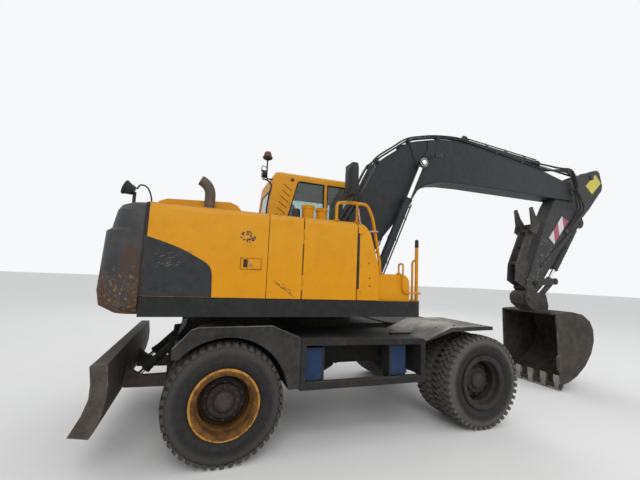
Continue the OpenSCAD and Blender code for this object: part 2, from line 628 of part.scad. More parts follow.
// Cab
cab_rear = 570;
cab_front = 2105;
cab_y0 = well_half;
cab_y1 = house_half - 12;
lamp_y = cab_y0 + 60;
cab_outline = [[cab_rear + 20, deck_top], [cab_front - 10, deck_top], [cab_front + 45, 1900], [cab_front + 40, 2250],
    [cab_front - 20, cab_top - 120], [cab_front - 60, cab_top - 40], [cab_front - 130, cab_top], [cab_rear + 160, cab_top],
    [cab_rear + 80, cab_top - 30], [cab_rear + 50, cab_top - 100], [cab_rear, 2500]];
cab_mid = (cab_y0 + cab_y1) / 2;
cab_w = cab_y1 - cab_y0;
door_x0 = 1010;
door_x1 = 1930;
module cab_shell() color(yellow) place() {
    cab_panels();
    cab_lugs();
}
louvre_n = 7;
louvre_at = [722, 2370];
louvre_step = [18, 88];
louvre_l = 150;
louvre_d = 12;
louvre_slant = 35;
module cab_panels() difference() {
    intersection() {
        side_profile(cab_w, cab_mid) polygon(cab_outline);
        translate([cab_rear - 20, 0, 0]) rotate([90, 0, 90]) linear_extrude(1700) {
            translate([cab_y0, deck_top]) square([cab_w, cab_top - deck_top - 70]);
            translate([cab_y0 + 70, deck_top]) square([cab_w - 140, cab_top - deck_top]);
            for (y = [cab_y0 + 70, cab_y1 - 70]) translate([y, cab_top - 70]) circle(r = 70);
        }
    }
    side_profile(cab_w - 2 * cab_wall, cab_mid) polygon(inset(cab_outline, cab_wall));
    // Right window, with a slanted rear edge, in two lights
    side_profile(cab_wall * 2, cab_y0) polygon([[800, 2260], [1395, 2260], [1395, 3010], [992, 3010]]);
    side_profile(cab_wall * 2, cab_y0) polygon([[1450, 2260], [cab_front - 80, 2260], [cab_front - 110, 3010], [1450, 3010]]);
    // Doorway and rear window of the left side
    block(door_x0, door_x1, cab_y1 - cab_wall - 1, cab_y1 + 1, 1470, 3000);
    block(720, 930, cab_y1 - cab_wall - 1, cab_y1 + 1, 2330, 2960);
    // Louvres of the rear pillar
    for (i = [0 : louvre_n - 1]) translate([louvre_at[0] + i * louvre_step[0], cab_y0, louvre_at[1] + i * louvre_step[1]])
        rotate([0, louvre_slant, 0]) block(-louvre_l / 2, louvre_l / 2, -1, louvre_d, -5, 5);
    // Windscreen and rear window
    block(cab_front - 160, cab_front + 80, cab_y0 + 60, cab_y1 - 60, 1700, cab_top - 135);
    block(cab_rear - 40, cab_rear + 140, cab_y0 + 150, cab_y1 - 110, 2330, 2860);
}
module cab_lugs() for (z = cab_hinge_z) for (dz = [-26 - seat, 60 + seat]) {
    translate([door_x0 + 4, cab_y1 + 12, z + dz]) cylinder(r = 9, h = 26);
    block(door_x0 - 26, door_x0 + 4, cab_y1 - 1, cab_y1 + 12, z + dz, z + dz + 26);
}
cab_hinge_z = [1620, 2000, 2750];
glass_t = 8;
module cab_glass() color(glass) place() {
    side_profile(glass_t, cab_y0 + 20) polygon([[800.5, 2260.5], [1394.5, 2260.5], [1394.5, 3009.5], [992.5, 3009.5]]);
    side_profile(glass_t, cab_y0 + 20) polygon([[1450.5, 2260.5], [cab_front - 80.5, 2260.5], [cab_front - 110.5, 3009.5],
        [1450.5, 3009.5]]);
    block(720.5, 929.5, cab_y1 - 24, cab_y1 - 16, 2330.5, 2959.5);
    // Windscreen in the plane of the cab's front
    intersection() {
        side_profile(cab_w - 121, cab_mid) difference() {
            polygon(inset(cab_outline, 12));
            polygon(inset(cab_outline, 12 + glass_t));
        }
        block(cab_front - 160, cab_front + 80, cab_y0 + 60.5, cab_y1 - 60.5, 1700.5, cab_top - 135.5);
    }
    intersection() {
        side_profile(cab_w - 261, cab_mid + 20) difference() {
            polygon(inset(cab_outline, 12));
            polygon(inset(cab_outline, 12 + glass_t));
        }
        block(cab_rear - 40, cab_rear + 140, cab_y0 + 150.5, cab_y1 - 110.5, 2330.5, 2859.5);
    }
}
module cab_door() color(yellow) place() {
    difference() {
        block(door_x0 + gap, door_x1 - gap, cab_y1 - cab_wall + 4, cab_y1, 1470 + gap, 3000 - gap);
        block(door_x0 + 75, door_x1 - 75, cab_y1 - cab_wall, cab_y1 + 1, 2080, 2940);
    }
    for (z = cab_hinge_z) {
        translate([door_x0 + 4, cab_y1 + 12, z]) cylinder(r = 9, h = 60);
        block(door_x0 + 4, door_x0 + 40, cab_y1 - 1, cab_y1 + 12, z, z + 60);
    }
}
module cab_door_glass() color(glass) place()
    block(door_x0 + 75.5, door_x1 - 75.5, cab_y1 - 24, cab_y1 - 16, 2080.5, 2939.5);
seat_half = 230;
seat_top = 1990;
seat_back_top = 2560;
console_y = [270, 340];
wheel_at = [1797, 2150];
module cab_seat() color(dark) place() {
    // Seat base, cushion, back and headrest, consoles and the steering column
    floor_z = deck_top + cab_wall;
    block(1000, 1500, cab_mid - seat_half, cab_mid + seat_half, floor_z, seat_top - 140);
    block(1000, 1560, cab_mid - seat_half - 30, cab_mid + seat_half + 30, seat_top - 140, seat_top);
    side_profile(2 * seat_half + 20, cab_mid) polygon([[1000, seat_top], [1130, seat_top], [1040, seat_back_top],
        [940, seat_back_top]]);
    side_profile(280, cab_mid) translate([0, seat_back_top]) polygon([[930, 30], [1020, 30], [1000, 200], [920, 200]]);
    block(945, 975, cab_mid - 30, cab_mid + 30, seat_back_top - 10, seat_back_top + 40);
    both_sides_of(cab_mid) block(1150, 1650, console_y[0], console_y[1], floor_z, 2130);
    rail([[1900, cab_mid, floor_z], [1900, cab_mid, 1600], [wheel_at[0] + 3, cab_mid, wheel_at[1]]], 30);
    translate([wheel_at[0], cab_mid, wheel_at[1]]) rotate([0, -20, 0]) {
        rotate_extrude() translate([185, 0]) circle(r = 14, $fn = 24);
        for (a = [0, 90]) rotate([0, 0, a]) block(-180, 180, -12, 12, -8, 8);
    }
}
module both_sides_of(y) translate([0, y, 0]) both_sides() children();

// Boom
boom_tip = [6150, 3400];
boom_cyl_b = [2740, 3390];
arm_cyl_a = [3700, 3985];
boom_outline = [boom_foot + [-150, 20], boom_foot + [60, -140], boom_foot + [160, -40], [1930, 1980], [2560, 2740],
    [2716, 2985], [2860, 3081], [3101, 3161], [3292, 3188], [3690, 3205], [5400, 3225], [5800, 3232], boom_tip + [20, -160],
    boom_tip + [60, 160], [5900, 3590], [5400, 3700], [4300, 3830], [3700, 3890], [3450, 3900], [3098, 3860], [2564, 3715],
    [2340, 3555], [2042, 3320], [1700, 2640]];
nose_y = boom_half - 34;
boom_boss = boom_half + 12;
module boom() color(charcoal) place() {
    difference() {
        union() {
            side_profile(2 * boom_half) polygon(boom_outline);
            at(boom_foot) ycyl(150, 2 * boom_half);
            at(boom_tip) ycyl(170, 2 * boom_half);
            at(boom_cyl_b) ycyl(75, 2 * boom_boss);
            both_sides() side_profile(24, 70 + 12) polygon([[3480, 3850], [3900, 3830], arm_cyl_a + [70, 20],
                arm_cyl_a + [30, 70], arm_cyl_a + [-40, 70], arm_cyl_a + [-80, 10]]);
            at(arm_cyl_a) ycyl(30, 200);
        }
        difference() {
            side_profile(2 * (boom_half - plate)) polygon(inset(boom_outline, plate));
            at(boom_foot) ycyl(151, 2 * boom_half);
            block(5560, 6600, -boom_half, boom_half, 3000, 4000);
        }
        at(boom_foot) ycyl(50 + running, 2 * boom_half + 2);
        // The fork that the arm turns in
        block(5640, 6600, -nose_y, nose_y, 3000, 3800);
    }
    at(boom_tip) ycyl(45, 2 * nose_y + 2);
    both_sides() at(boom_tip) ycyl(62, 16, boom_half + 8);
}
boom_barrel_len = 1420;
module boom_barrels() color(charcoal) place() both_sides()
    barrel(boom_cyl_a, boom_cyl_b, boom_barrel_len, boom_cyl_r, 50, 36, 68, 34, 104, boom_cyl_y);
module boom_rods() color(chrome) place() both_sides() {
    piston_rod(boom_cyl_a, boom_cyl_b, 1160, 50, 36, 62, 100, boom_cyl_y);
    // The pin that the rod's eye carries, up to the boom's boss
    at(boom_cyl_b) ycyl(34, boom_cyl_y + 58 - boom_boss - seat, (boom_cyl_y + 58 + boom_boss + seat) / 2);
}

// Arm: its places are given along its axis from the boom's tip and forwards of it
bucket_pin = [4990, 1430];
arm_dir = edge_dir(boom_tip, bucket_pin);
arm_fwd = [-arm_dir[1], arm_dir[0]];
function on_arm(a, f) = boom_tip + arm_dir * a + arm_fwd * f;
arm_len = norm(bucket_pin - boom_tip);
arm_horn = on_arm(-660, 360);
bucket_cyl_a = on_arm(300, 560);
rocker_pin = on_arm(arm_len - 330, 50);
link_pin = on_arm(arm_len - 590, 420);
coupler_pin = bucket_pin + [339, 30];
// Along the arm, forwards
arm_shape = [[-150, -150], [150, -225], [493, -260], [860, -255], [1400, -190], [arm_len - 120, -115],
    [arm_len - 60, 118], [arm_len - 500, 190], [1370, 250], [1125, 305], [746, 400], [420, 470], [330, 480],
    [-60, 600], [-330, 660], [-620, 730], [-720, 700], [-900, 520], [-900, 430], [-800, 330], [-420, 20]];
arm_outline = [for (p = arm_shape) on_arm(p[0], p[1])];
origin_x = (min([for (p = blade_outline) p[0]]) + max([for (p = arm_outline) p[0]])) / 2;
arm_plate_in = 60;
module arm() color(charcoal) place() {
    difference() {
        union() {
            side_profile(2 * arm_half) polygon(arm_outline);
            at(boom_tip) ycyl(110, 2 * (nose_y - seat));
            at(bucket_pin) ycyl(118, 2 * arm_half);
            both_sides() side_profile(22, 74) polygon([on_arm(140, 480), on_arm(480, 430), on_arm(400, 600),
                on_arm(340, 640), on_arm(260, 640), on_arm(220, 600)]);
            at(bucket_cyl_a) ycyl(28, 170);
        }
        difference() {
            side_profile(2 * (arm_half - plate)) polygon(inset(arm_outline, plate));
            at(boom_tip) ycyl(151, 2 * arm_half);
            at(bucket_pin) ycyl(240, 2 * arm_half);
            at(rocker_pin) ycyl(70, 2 * arm_half);
        }
        at(boom_tip) ycyl(45 + running, 2 * nose_y + 2);
        at(bucket_pin) ycyl(40 + running, 2 * arm_half + 2);
        // The slot between the horn's two plates
        side_profile(2 * arm_plate_in) polygon([on_arm(-240, -400), on_arm(-240, 560), on_arm(-560, 900), on_arm(-1100, 900),
            on_arm(-1100, -400)]);
    }
    both_sides() at(arm_horn) ycyl(55, 12, arm_half + 6);
    both_sides() at(rocker_pin) ycyl(34, 50, arm_half + 25);
}
arm_barrel_len = 1762;
module arm_barrel() color(charcoal) place()
    barrel(arm_cyl_a, arm_horn, arm_barrel_len, arm_cyl_r, 52, 38, 66, 30, 126);
module arm_rod() color(chrome) place()
    piston_rod(arm_cyl_a, arm_horn, 1549, 52, 38, 66, 2 * (arm_plate_in - seat));
bucket_barrel_len = 1120;
module bucket_barrel() color(charcoal) place()
    barrel(bucket_cyl_a, link_pin, bucket_barrel_len, bucket_cyl_r, 46, 34, 60, 28, 2 * (63 - seat));
module bucket_rod() color(chrome) place()
    piston_rod(bucket_cyl_a, link_pin, 1120, 46, 34, 52, 2 * (link_y - 15 - seat));
// The rocker: two plates beside the arm that carry the link's pin
module rocker() color(charcoal) place() {
    both_sides() {
        difference() {
            side_bar(rocker_pin, link_pin, 58, 26, rocker_y);
            at(rocker_pin) ycyl(34 + running, 60, rocker_y);
        }
        at(link_pin) ycyl(30, rocker_y - link_y + 15, (rocker_y + link_y - 15) / 2);
    }
}
link_y = 84;
rocker_y = arm_half + 22;
module side_bar(a, b, r, w, y) side_profile(w, y) {
    translate(a) circle(r);
    translate(b) circle(r);
    translate(a) rotate(angle_to(a, b)) translate([0, -0.85 * r]) square([norm(b - a), 1.7 * r]);
}
module link() color(charcoal) place() {
    both_sides() difference() {
        side_bar(link_pin, coupler_pin, 54, 30, link_y);
        at(link_pin) ycyl(30 + running, 80, link_y);
    }
    at(coupler_pin) ycyl(40, 2 * (coupler_in - seat));
}
coupler_in = arm_half + 6;

// Bucket with its coupler
bucket_shell = [[5130, 1205], [5230, 1215], [5500, 1232], [5760, 1190], [5930, 1080], [6005, 930], [6010, 760],
    [5930, 560], [5770, 370], [5560, 220], [5350, 130], [5200, 95]];
shell_t = 26;
module bucket() color(rust) place() {
    inner = inset([for (i = [len(bucket_shell) - 1 : -1 : 0]) bucket_shell[i]], shell_t);
    difference() {
        side_profile(2 * bucket_half) polygon(bucket_shell);
        side_profile(2 * (bucket_half - 22)) polygon(concat([[5000, 1160]], [for (i = [len(inner) - 1 : -1 : 1]) inner[i]],
            [[5190, 125], [5000, 125]]));
    }
    // Cutting edge and teeth
    side_profile(2 * bucket_half) polygon([[5165, 112], [5250, 112], [5215, 40], [5180, 40]]);
    tooth_n = 5;
    for (i = [0 : tooth_n - 1]) {
        y = (i - (tooth_n - 1) / 2) * (2 * bucket_half - 110) / (tooth_n - 1);
        side_profile(80, y) polygon([[5160, 150], [5160, 60], [5192, 16], [5205, 16], [5230, 60], [5235, 100], [5190, 110]]);
    }
    // Coupler plates and the bucket's pin
    both_sides() side_profile(32, coupler_in + 16) polygon([[4905, 1395], [4940, 1330], [5150, 1212], [5420, 1215],
        [5440, 1300], coupler_pin + [70, 10], coupler_pin + [40, 62], coupler_pin + [-40, 62], bucket_pin + [60, 80],
        bucket_pin + [-10, 92], bucket_pin + [-75, 55]]);
    at(bucket_pin) ycyl(40, 2 * coupler_in + 88);
    both_sides() at(coupler_pin) ycyl(40, 14, coupler_in + 38);
}
// Thumb: stowed along the arm's rear side, with its two tines beside each other
function arm_back(a) = -190.1 + 75 * (a - 1400) / (arm_len - 1520);
module thumb_plate(w, y, shape) both_sides() side_profile(w, y) polygon([for (p = shape) on_arm(p[0], p[1])]);
module thumb() color(rust) place() {
    thumb_plate(28, 76, [[1790, arm_back(1790)], [arm_len - 140, arm_back(arm_len - 140)], [arm_len - 130, -330],
        [1900, -450], [1150, -515], [1090, -440], [1085, -385], [1700, -320]]);
    thumb_plate(34, 150, [[1270, -520], [1130, -560], [905, -725], [862, -695], [965, -540], [1015, -400],
        [1230, -392]]);
    for (a = [1110, 1215]) at(on_arm(a, -455)) ycyl(45, 2 * 167);
    for (a = [1500, 1850]) at(on_arm(a, -400)) ycyl(36, 2 * 90);
}

// Sub-parts of the wheels, one on each side
module tyres_rear_right() color(dark) place() rear_wheel_place() mirror([0, 1, 0]) tyres();
module tyres_rear_left() color(dark) place() rear_wheel_place() tyres();
module tyres_front_right() color(dark) place() front_wheel_place() mirror([0, 1, 0]) tyres();
module tyres_front_left() color(dark) place() front_wheel_place() tyres();
module rims_rear_right() color(yellow) place() rear_wheel_place() mirror([0, 1, 0]) rims();
module rims_rear_left() color(yellow) place() rear_wheel_place() rims();
module rims_front_right() color(yellow) place() front_wheel_place() mirror([0, 1, 0]) rims();
module rims_front_left() color(yellow) place() front_wheel_place() rims();
module knuckle_right() color(dusty) place() front_wheel_place() mirror([0, 1, 0]) knuckle();
module knuckle_left() color(dusty) place() front_wheel_place() knuckle();

chassis_frame();
side_frames();
tool_boxes();
rear_fenders();
front_fenders();
rear_axle();
front_axle();
tyres_rear_right();
tyres_rear_left();
tyres_front_right();
tyres_front_left();
rims_rear_right();
rims_rear_left();
rims_front_right();
rims_front_left();
knuckle_right();
knuckle_left();
blade_brackets();
blade();
blade_barrels();
blade_rods();
deck();
counterweight();
house();
engine();
hood();
door_rear_right();
door_front_right();
door_left();
exhaust();
fillers();
handrails();
step_box();
mirrors();
lamps();
cab_shell();
cab_glass();
cab_door();
cab_door_glass();
cab_seat();
boom();
boom_barrels();
boom_rods();
arm();
arm_barrel();
arm_rod();
bucket_barrel();
bucket_rod();
rocker();
link();
bucket();
thumb();
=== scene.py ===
import math
import random
from collections import namedtuple

import bmesh
import bpy
from mathutils import Matrix, Vector


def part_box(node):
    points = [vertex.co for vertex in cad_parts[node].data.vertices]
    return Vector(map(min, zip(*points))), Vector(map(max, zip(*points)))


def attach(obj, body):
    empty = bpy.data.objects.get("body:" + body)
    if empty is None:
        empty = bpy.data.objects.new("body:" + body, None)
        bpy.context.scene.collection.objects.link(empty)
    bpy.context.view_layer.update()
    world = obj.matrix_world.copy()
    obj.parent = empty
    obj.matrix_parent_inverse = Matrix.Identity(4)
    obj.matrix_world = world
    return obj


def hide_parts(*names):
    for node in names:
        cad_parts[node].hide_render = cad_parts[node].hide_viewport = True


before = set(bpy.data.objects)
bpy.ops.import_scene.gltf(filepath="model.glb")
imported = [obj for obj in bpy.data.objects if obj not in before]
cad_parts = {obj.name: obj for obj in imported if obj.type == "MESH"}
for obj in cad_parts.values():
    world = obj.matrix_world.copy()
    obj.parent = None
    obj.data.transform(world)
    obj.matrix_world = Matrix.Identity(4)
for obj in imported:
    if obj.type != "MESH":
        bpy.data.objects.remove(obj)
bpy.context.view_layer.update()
rnd = random.Random(7)

# Places are in millimetres from the rear axle, as in the part's source. The frame's own origin is at
# ORIGIN_X, on the ground and on the middle plane.
ORIGIN_X = 3002.763
# The machine's right side and its left
SIDES = (-1, 1)

# Wheels: tyre and rim radius, tyre width, the outer tyres' outer face and the distance between twin tyres
WHEELBASE = 2850
TYRE_R = 515
RIM_R = 298
TYRE_W = 278
OUTER_Y = 1256 - TYRE_W / 2
INNER_Y = OUTER_Y - 320

# House: its right face, the lowest and highest edge of its doors, and the tops of the step box and the roof
SIDE_Y = -1245
DOOR_Z0, DOOR_Z1 = 1416, 2190
STEP_Z = 1691
ROOF_Z = 2205

# Pins of the arm and the bucket linkage, in (x, z)
BOOM_TIP = (6150, 3400)
BUCKET_PIN = (4990, 1430)
ROCKER_PIN = (5651, 1725)
COUPLER_PIN = (5329, 1460)
ARM_LENGTH = math.dist(BOOM_TIP, BUCKET_PIN)
ARM_DIR = ((BUCKET_PIN[0] - BOOM_TIP[0]) / ARM_LENGTH, (BUCKET_PIN[1] - BOOM_TIP[1]) / ARM_LENGTH)

# The boom's upper edge in (x, z), from above its foot to its far end
BOOM_TOP = [(1700, 2640), (1870, 2985), (2042, 3320), (2340, 3555), (2564, 3715), (2830, 3800), (3098, 3860),
            (3450, 3900), (3700, 3890), (4300, 3830), (4900, 3760), (5400, 3700)]

# Cylinders: bodies of the barrel and the rod, pins at both ends in (x, z), the barrel's length and radius,
# the radius of the rod and of its eye, the eye's width, the cylinders' places across, the barrel's finish,
# and the side that the steel tube lies on
Cylinder = namedtuple("Cylinder", "barrel rod foot head length radius rod_r eye_r eye_w across finish "
                      "tube_side")
CYLINDERS = (
    Cylinder("boom_barrels", "boom_rods", (1930, 1500), (2740, 3390), 1420, 58, 36, 62, 100, (-240, 240),
             "charcoal", -1),
    Cylinder("arm_barrel", "arm_rod", (3700, 3985), (6794.9, 3786.1), 1762, 62, 38, 66, 119.4, (0,),
             "charcoal", 1),
    Cylinder("bucket_barrel", "bucket_rod", (6480.4, 2857.3), ROCKER_PIN, 1120, 56, 34, 52, 137.4, (0,),
             "arm", 1),
    Cylinder("blade_barrels", "blade_rods", (-460, 900), (-800, 560), 370, 40, 20, 32, 43.4, (-402, 402),
             "frame", -1),
)


def mm(x, y, z):
    """A place in mm as a point in the frame, in metres."""
    return Vector(((x - ORIGIN_X) / 1000, y / 1000, z / 1000))


def arm_at(along, forward, y=0.0):
    """A place in mm along the arm from the boom's tip, forwards of its axis and sideways."""
    return (BOOM_TIP[0] + ARM_DIR[0] * along - ARM_DIR[1] * forward, y,
            BOOM_TIP[1] + ARM_DIR[1] * along + ARM_DIR[0] * forward)


def arm_outline(*points):
    """An outline in (x, z) from places along the arm and forwards of its axis."""
    return [arm_at(along, forward)[::2] for along, forward in points]


def angles(n, start=0.0):
    """n angles evenly round a circle."""
    return [start + 2 * math.pi * k / n for k in range(n)]


# Camera, light and floor
def in_scene(name, data):
    ob = bpy.data.objects.new(name, data)
    bpy.context.scene.collection.objects.link(ob)
    return ob


def camera():
    """The photograph's camera, at eye height beside the right rear wheel; its turns are in radians."""
    yaw, pitch, roll = 0.3487, 0.1105, -0.0421
    focal_px, width_px, sensor = 335, 640, 36
    ahead = Vector((math.sin(yaw) * math.cos(pitch), math.cos(yaw) * math.cos(pitch), math.sin(pitch)))
    level = Vector((math.cos(yaw), -math.sin(yaw), 0))
    below = ahead.cross(level)
    right = math.cos(roll) * level + math.sin(roll) * below
    down = -math.sin(roll) * level + math.cos(roll) * below
    data = bpy.data.cameras.new("photo_camera")
    data.sensor_width = sensor
    data.lens = focal_px / width_px * sensor
    cam = in_scene("photo_camera", data)
    turn = Matrix((right, -down, -ahead)).transposed().to_4x4()
    cam.matrix_world = Matrix.Translation(mm(-316.2, -4301.8, 1627.3)) @ turn
    bpy.context.scene.camera = cam
    bpy.context.scene.view_settings.view_transform = "Standard"


def lamp(name, place, target, size, power):
    """A square lamp, in metres and watts, turned towards its target."""
    data = bpy.data.lights.new(name, "AREA")
    data.shape = "SQUARE"
    data.size = size
    data.energy = power
    ob = in_scene(name, data)
    ob.location = place
    ob.rotation_euler = (Vector(target) - Vector(place)).to_track_quat("-Z", "Y").to_euler()


def studio():
    """Soft light from a pale world, which is nearly white where the camera, gloss or glass sees it."""
    world = bpy.data.worlds.new("studio")
    bpy.context.scene.world = world
    world.use_nodes = True
    t = Tree(world.node_tree)
    t.tree.nodes.clear()
    rays = t.n("LightPath", out=None).outputs
    seen = rays["Is Camera Ray"]
    for ray in ("Is Glossy Ray", "Is Transmission Ray"):
        seen = t.most(seen, rays[ray])
    plain = t.n("Background", (0.97, 0.985, 1), 0.7)
    white = t.n("Background", (0.93, 0.94, 0.95), 1.0)
    t.n("OutputWorld", t.n("MixShader", seen, plain, white), out=None)
    lamp("key", (-4.5, -11, 9.5), (0, 0, 1.4), 7.5, 640)
    lamp("fill", (9.5, -7.5, 6.0), (0.5, 0, 1.5), 7.0, 160)
    lamp("rim", (2.0, 11.5, 8.0), (0, 0, 1.5), 8.0, 280)
    half = 90
    me = bpy.data.meshes.new("floor")
    corners = [(-half, -half, 0), (half, -half, 0), (half, half, 0), (-half, half, 0)]
    me.from_pydata(corners, [], [(0, 1, 2, 3)])
    me.materials.append(floor_material())
    in_scene("floor", me)


# Node helpers
class Tree:
    """A node tree with short calls."""

    def __init__(self, tree):
        self.tree = tree

    def put(self, socket, value):
        """Links a socket to another, or gives it a number, a vector or a colour."""
        if isinstance(value, bpy.types.NodeSocket):
            self.tree.links.new(value, socket)
        else:
            socket.default_value = (*value, 1) if socket.type == "RGBA" else value

    def n(self, kind, *ins, out=0, **named):
        """A node with its inputs in order, then by name with a capital; other names are its settings."""
        node = self.tree.nodes.new("ShaderNode" + kind)
        for name, value in named.items():
            if name[0].islower():
                setattr(node, name, value)
            else:
                self.put(node.inputs[name], value)
        for socket, value in zip(node.inputs, ins):
            self.put(socket, value)
        return node if out is None else node.outputs[out]

    def math(self, operation, *values):
        return self.n("Math", *values, operation=operation)

    def add(self, a, b):
        return self.math("ADD", a, b)

    def less(self, a, b):
        return self.math("SUBTRACT", a, b)

    def times(self, a, b):
        return self.math("MULTIPLY", a, b)

    def most(self, a, b):
        return self.math("MAXIMUM", a, b)

    def place(self):
        return self.n("TexCoord", out="Object")

    def normal(self):
        return self.n("NewGeometry", out="Normal")

    def part(self, vector, letter):
        return self.n("SeparateXYZ", vector, out=letter)

    def noise(self, vector, scale, detail=4.0, rough=0.6):
        return self.n("TexNoise", Vector=vector, Scale=scale, Detail=detail, Roughness=rough)

    def ramp(self, value, low, high, to_low=0.0, to_high=1.0):
        """A smooth step from one level of the value to another."""
        return self.n("MapRange", value, low, high, to_low, to_high, interpolation_type="SMOOTHSTEP")

    def between(self, value, at_zero, at_one):
        return self.n("MapRange", value, 0.0, 1.0, at_zero, at_one)

    def mix(self, mask, under, over):
        """One colour over another, where the mask is 1."""
        node = self.n("Mix", data_type="RGBA", out=None)
        for i, value in ((0, mask), (6, under), (7, over)):
            self.put(node.inputs[i], value)
        return node.outputs[2]

    def stretch(self, vector, scale, turn=(0, 0, 0)):
        return self.n("Mapping", Vector=vector, Scale=scale, Rotation=turn)


def group(build, outs, **ins):
    """A shader node group, named as the function that builds it, with named inputs and outputs."""
    tree = bpy.data.node_groups.new(build.__name__, "ShaderNodeTree")
    for name, default in ins.items():
        socket = tree.interface.new_socket(name=name, in_out="INPUT", socket_type="NodeSocketFloat")
        socket.default_value = default
    for name in outs:
        tree.interface.new_socket(name=name, in_out="OUTPUT", socket_type="NodeSocketFloat")
    first = tree.nodes.new("NodeGroupInput")
    last = tree.nodes.new("NodeGroupOutput")
    for name, socket in build(Tree(tree), first.outputs).items():
        tree.links.new(socket, last.inputs[name])
    return tree


def edge_wear(t, i):
    """Chips at edges, where the Bevel node's normal leaves the surface's own, and chips in patches."""
    place = t.place()
    bent = t.n("Bevel", i["Width"], samples=4)
    edge = t.ramp(t.n("VectorMath", bent, t.normal(), operation="DOT_PRODUCT", out="Value"), 0.995, 0.8)
    rough = t.noise(place, i["Scale"], 6.0, 0.7)
    fine = t.noise(place, t.times(i["Scale"], 5.0), 3.0)
    worn = t.times(edge, t.ramp(t.add(rough, t.times(fine, 0.35)), 0.78, 0.62, 1.0, 0.0))
    spots = t.ramp(t.add(t.times(rough, 0.6), t.times(fine, 0.4)), 0.66, 0.69)
    return {"Edges": t.times(worn, i["Amount"]), "Spots": t.times(spots, i["Patches"])}


def settled_dust(t, i):
    """Dust that lies on what faces up, gathers in clouds and thickens below Height."""
    place = t.place()
    up = t.ramp(t.part(t.normal(), "Z"), 0.15, 0.95)
    low = t.ramp(t.part(place, "Z"), i["Height"], 0.0)
    broad = t.noise(place, i["Scale"], 5.0, 0.62)
    fine = t.noise(place, 90.0, 4.0, 0.7)
    cloud = t.ramp(t.add(t.times(broad, 0.75), t.times(fine, 0.25)), 0.36, 0.68)
    lies = t.times(t.add(t.times(up, 0.75), t.times(low, 0.55)), i["Amount"])
    dust = t.add(t.times(lies, t.add(cloud, 0.35)), t.times(cloud, i["Film"]))
    return {"Dust": t.math("MINIMUM", dust, 1.0), "Cloud": cloud, "Height": t.add(t.times(fine, 0.5), broad)}


def dirt_streaks(t, i):
    """Runs of dirt and rust down the sides."""
    place = t.place()
    thin = t.noise(t.stretch(place, (9.0, 9.0, 0.7)), i["Scale"], 5.0, 0.65)
    where = t.noise(place, 1.7, 3.0, 0.5)
    side = t.ramp(t.math("ABSOLUTE", t.part(t.normal(), "Z")), 0.8, 0.3)
    runs = t.times(t.ramp(thin, 0.55, 0.72), t.ramp(where, 0.42, 0.62))
    return {"Streaks": t.times(t.times(runs, side), i["Amount"])}


def surface_grain(t, i):
    """Broad and fine grain, and long thin scratches."""
    place = t.place()
    long = t.noise(t.stretch(place, (1.0, 1.0, 24.0), (0.25, 0.5, 0.1)), 22.0, 3.0, 0.55)
    return {"Value": t.noise(place, i["Scale"], 8.0, 0.7), "Fine": t.noise(place, t.times(i["Scale"], 7.0)),
            "Scratches": t.ramp(long, 0.66, 0.7)}


GROUPS = {
    "edges": group(edge_wear, ("Edges", "Spots"), Width=0.012, Scale=9.0, Amount=1.0, Patches=0.0),
    "dust": group(settled_dust, ("Dust", "Cloud", "Height"), Scale=2.2, Amount=0.6, Film=0.2, Height=1.2),
    "streaks": group(dirt_streaks, ("Streaks",), Scale=1.0, Amount=0.5),
    "grain": group(surface_grain, ("Value", "Fine", "Scratches"), Scale=14.0),
}


class Finish(Tree):
    """A material with one Principled shader. Its plain values carry the names of the shader's sockets."""

    def __init__(self, name, **plain):
        self.material = bpy.data.materials.new(name)
        self.material.use_nodes = True
        super().__init__(self.material.node_tree)
        self.tree.nodes.clear()
        self.shader = self.n("BsdfPrincipled", out=None)
        self.n("OutputMaterial", self.shader.outputs[0], out=None)
        for name, value in plain.items():
            self.put(self.shader.inputs[name.replace("_", " ")], value)

    def use(self, effect, **values):
        """The outputs of a shared effect that is used with these values."""
        return self.n("Group", node_tree=GROUPS[effect], out=None, **values).outputs

    def feed(self, color, rough=None, metal=None, height=None, strength=0.3, distance=0.002):
        """Feeds the shader, the height through a bump, and gives the material."""
        for name, value in (("Base Color", color), ("Roughness", rough), ("Metallic", metal)):
            if value is not None:
                self.put(self.shader.inputs[name], value)
        if height is not None:
            bump = self.n("Bump", Height=height, Strength=strength, Distance=distance)
            self.put(self.shader.inputs["Normal"], bump)
        return self.material


# Materials. Colours are linear.
DUST = (0.33, 0.29, 0.24)
RUST = (0.16, 0.062, 0.024)
DARK_RUST = (0.065, 0.032, 0.018)


def paint(name, base, faded, dust=0.5, film=0.15, chips=0.8, patches=0.0, streaks=0.4, under=DARK_RUST,
          rough=0.48, dust_color=DUST, height=1.2, bump=0.25, edge_scale=9.0):
    """Faded paint with chips down to what is under it, streaks and dust."""
    m = Finish(name, Specular_IOR_Level=0.2)
    e = m.use("edges", Amount=chips, Patches=patches, Scale=edge_scale)
    d = m.use("dust", Amount=dust, Film=film, Height=height)
    s = m.use("streaks", Amount=streaks)
    g = m.use("grain")
    worn = m.most(e["Edges"], e["Spots"])
    c = m.mix(m.ramp(g["Value"], 0.35, 0.7), base, faded)
    c = m.mix(m.times(g["Scratches"], 0.25), c, faded)
    c = m.mix(s["Streaks"], c, RUST)
    c = m.mix(worn, c, under)
    c = m.mix(d["Dust"], c, dust_color)
    r = m.most(m.between(d["Dust"], rough, 0.92), m.times(worn, 0.85))
    h = m.less(m.times(g["Fine"], 0.25), m.times(worn, 0.8))
    return m.feed(c, r, None, m.add(h, m.times(d["Height"], 0.25)), bump, 0.0015)


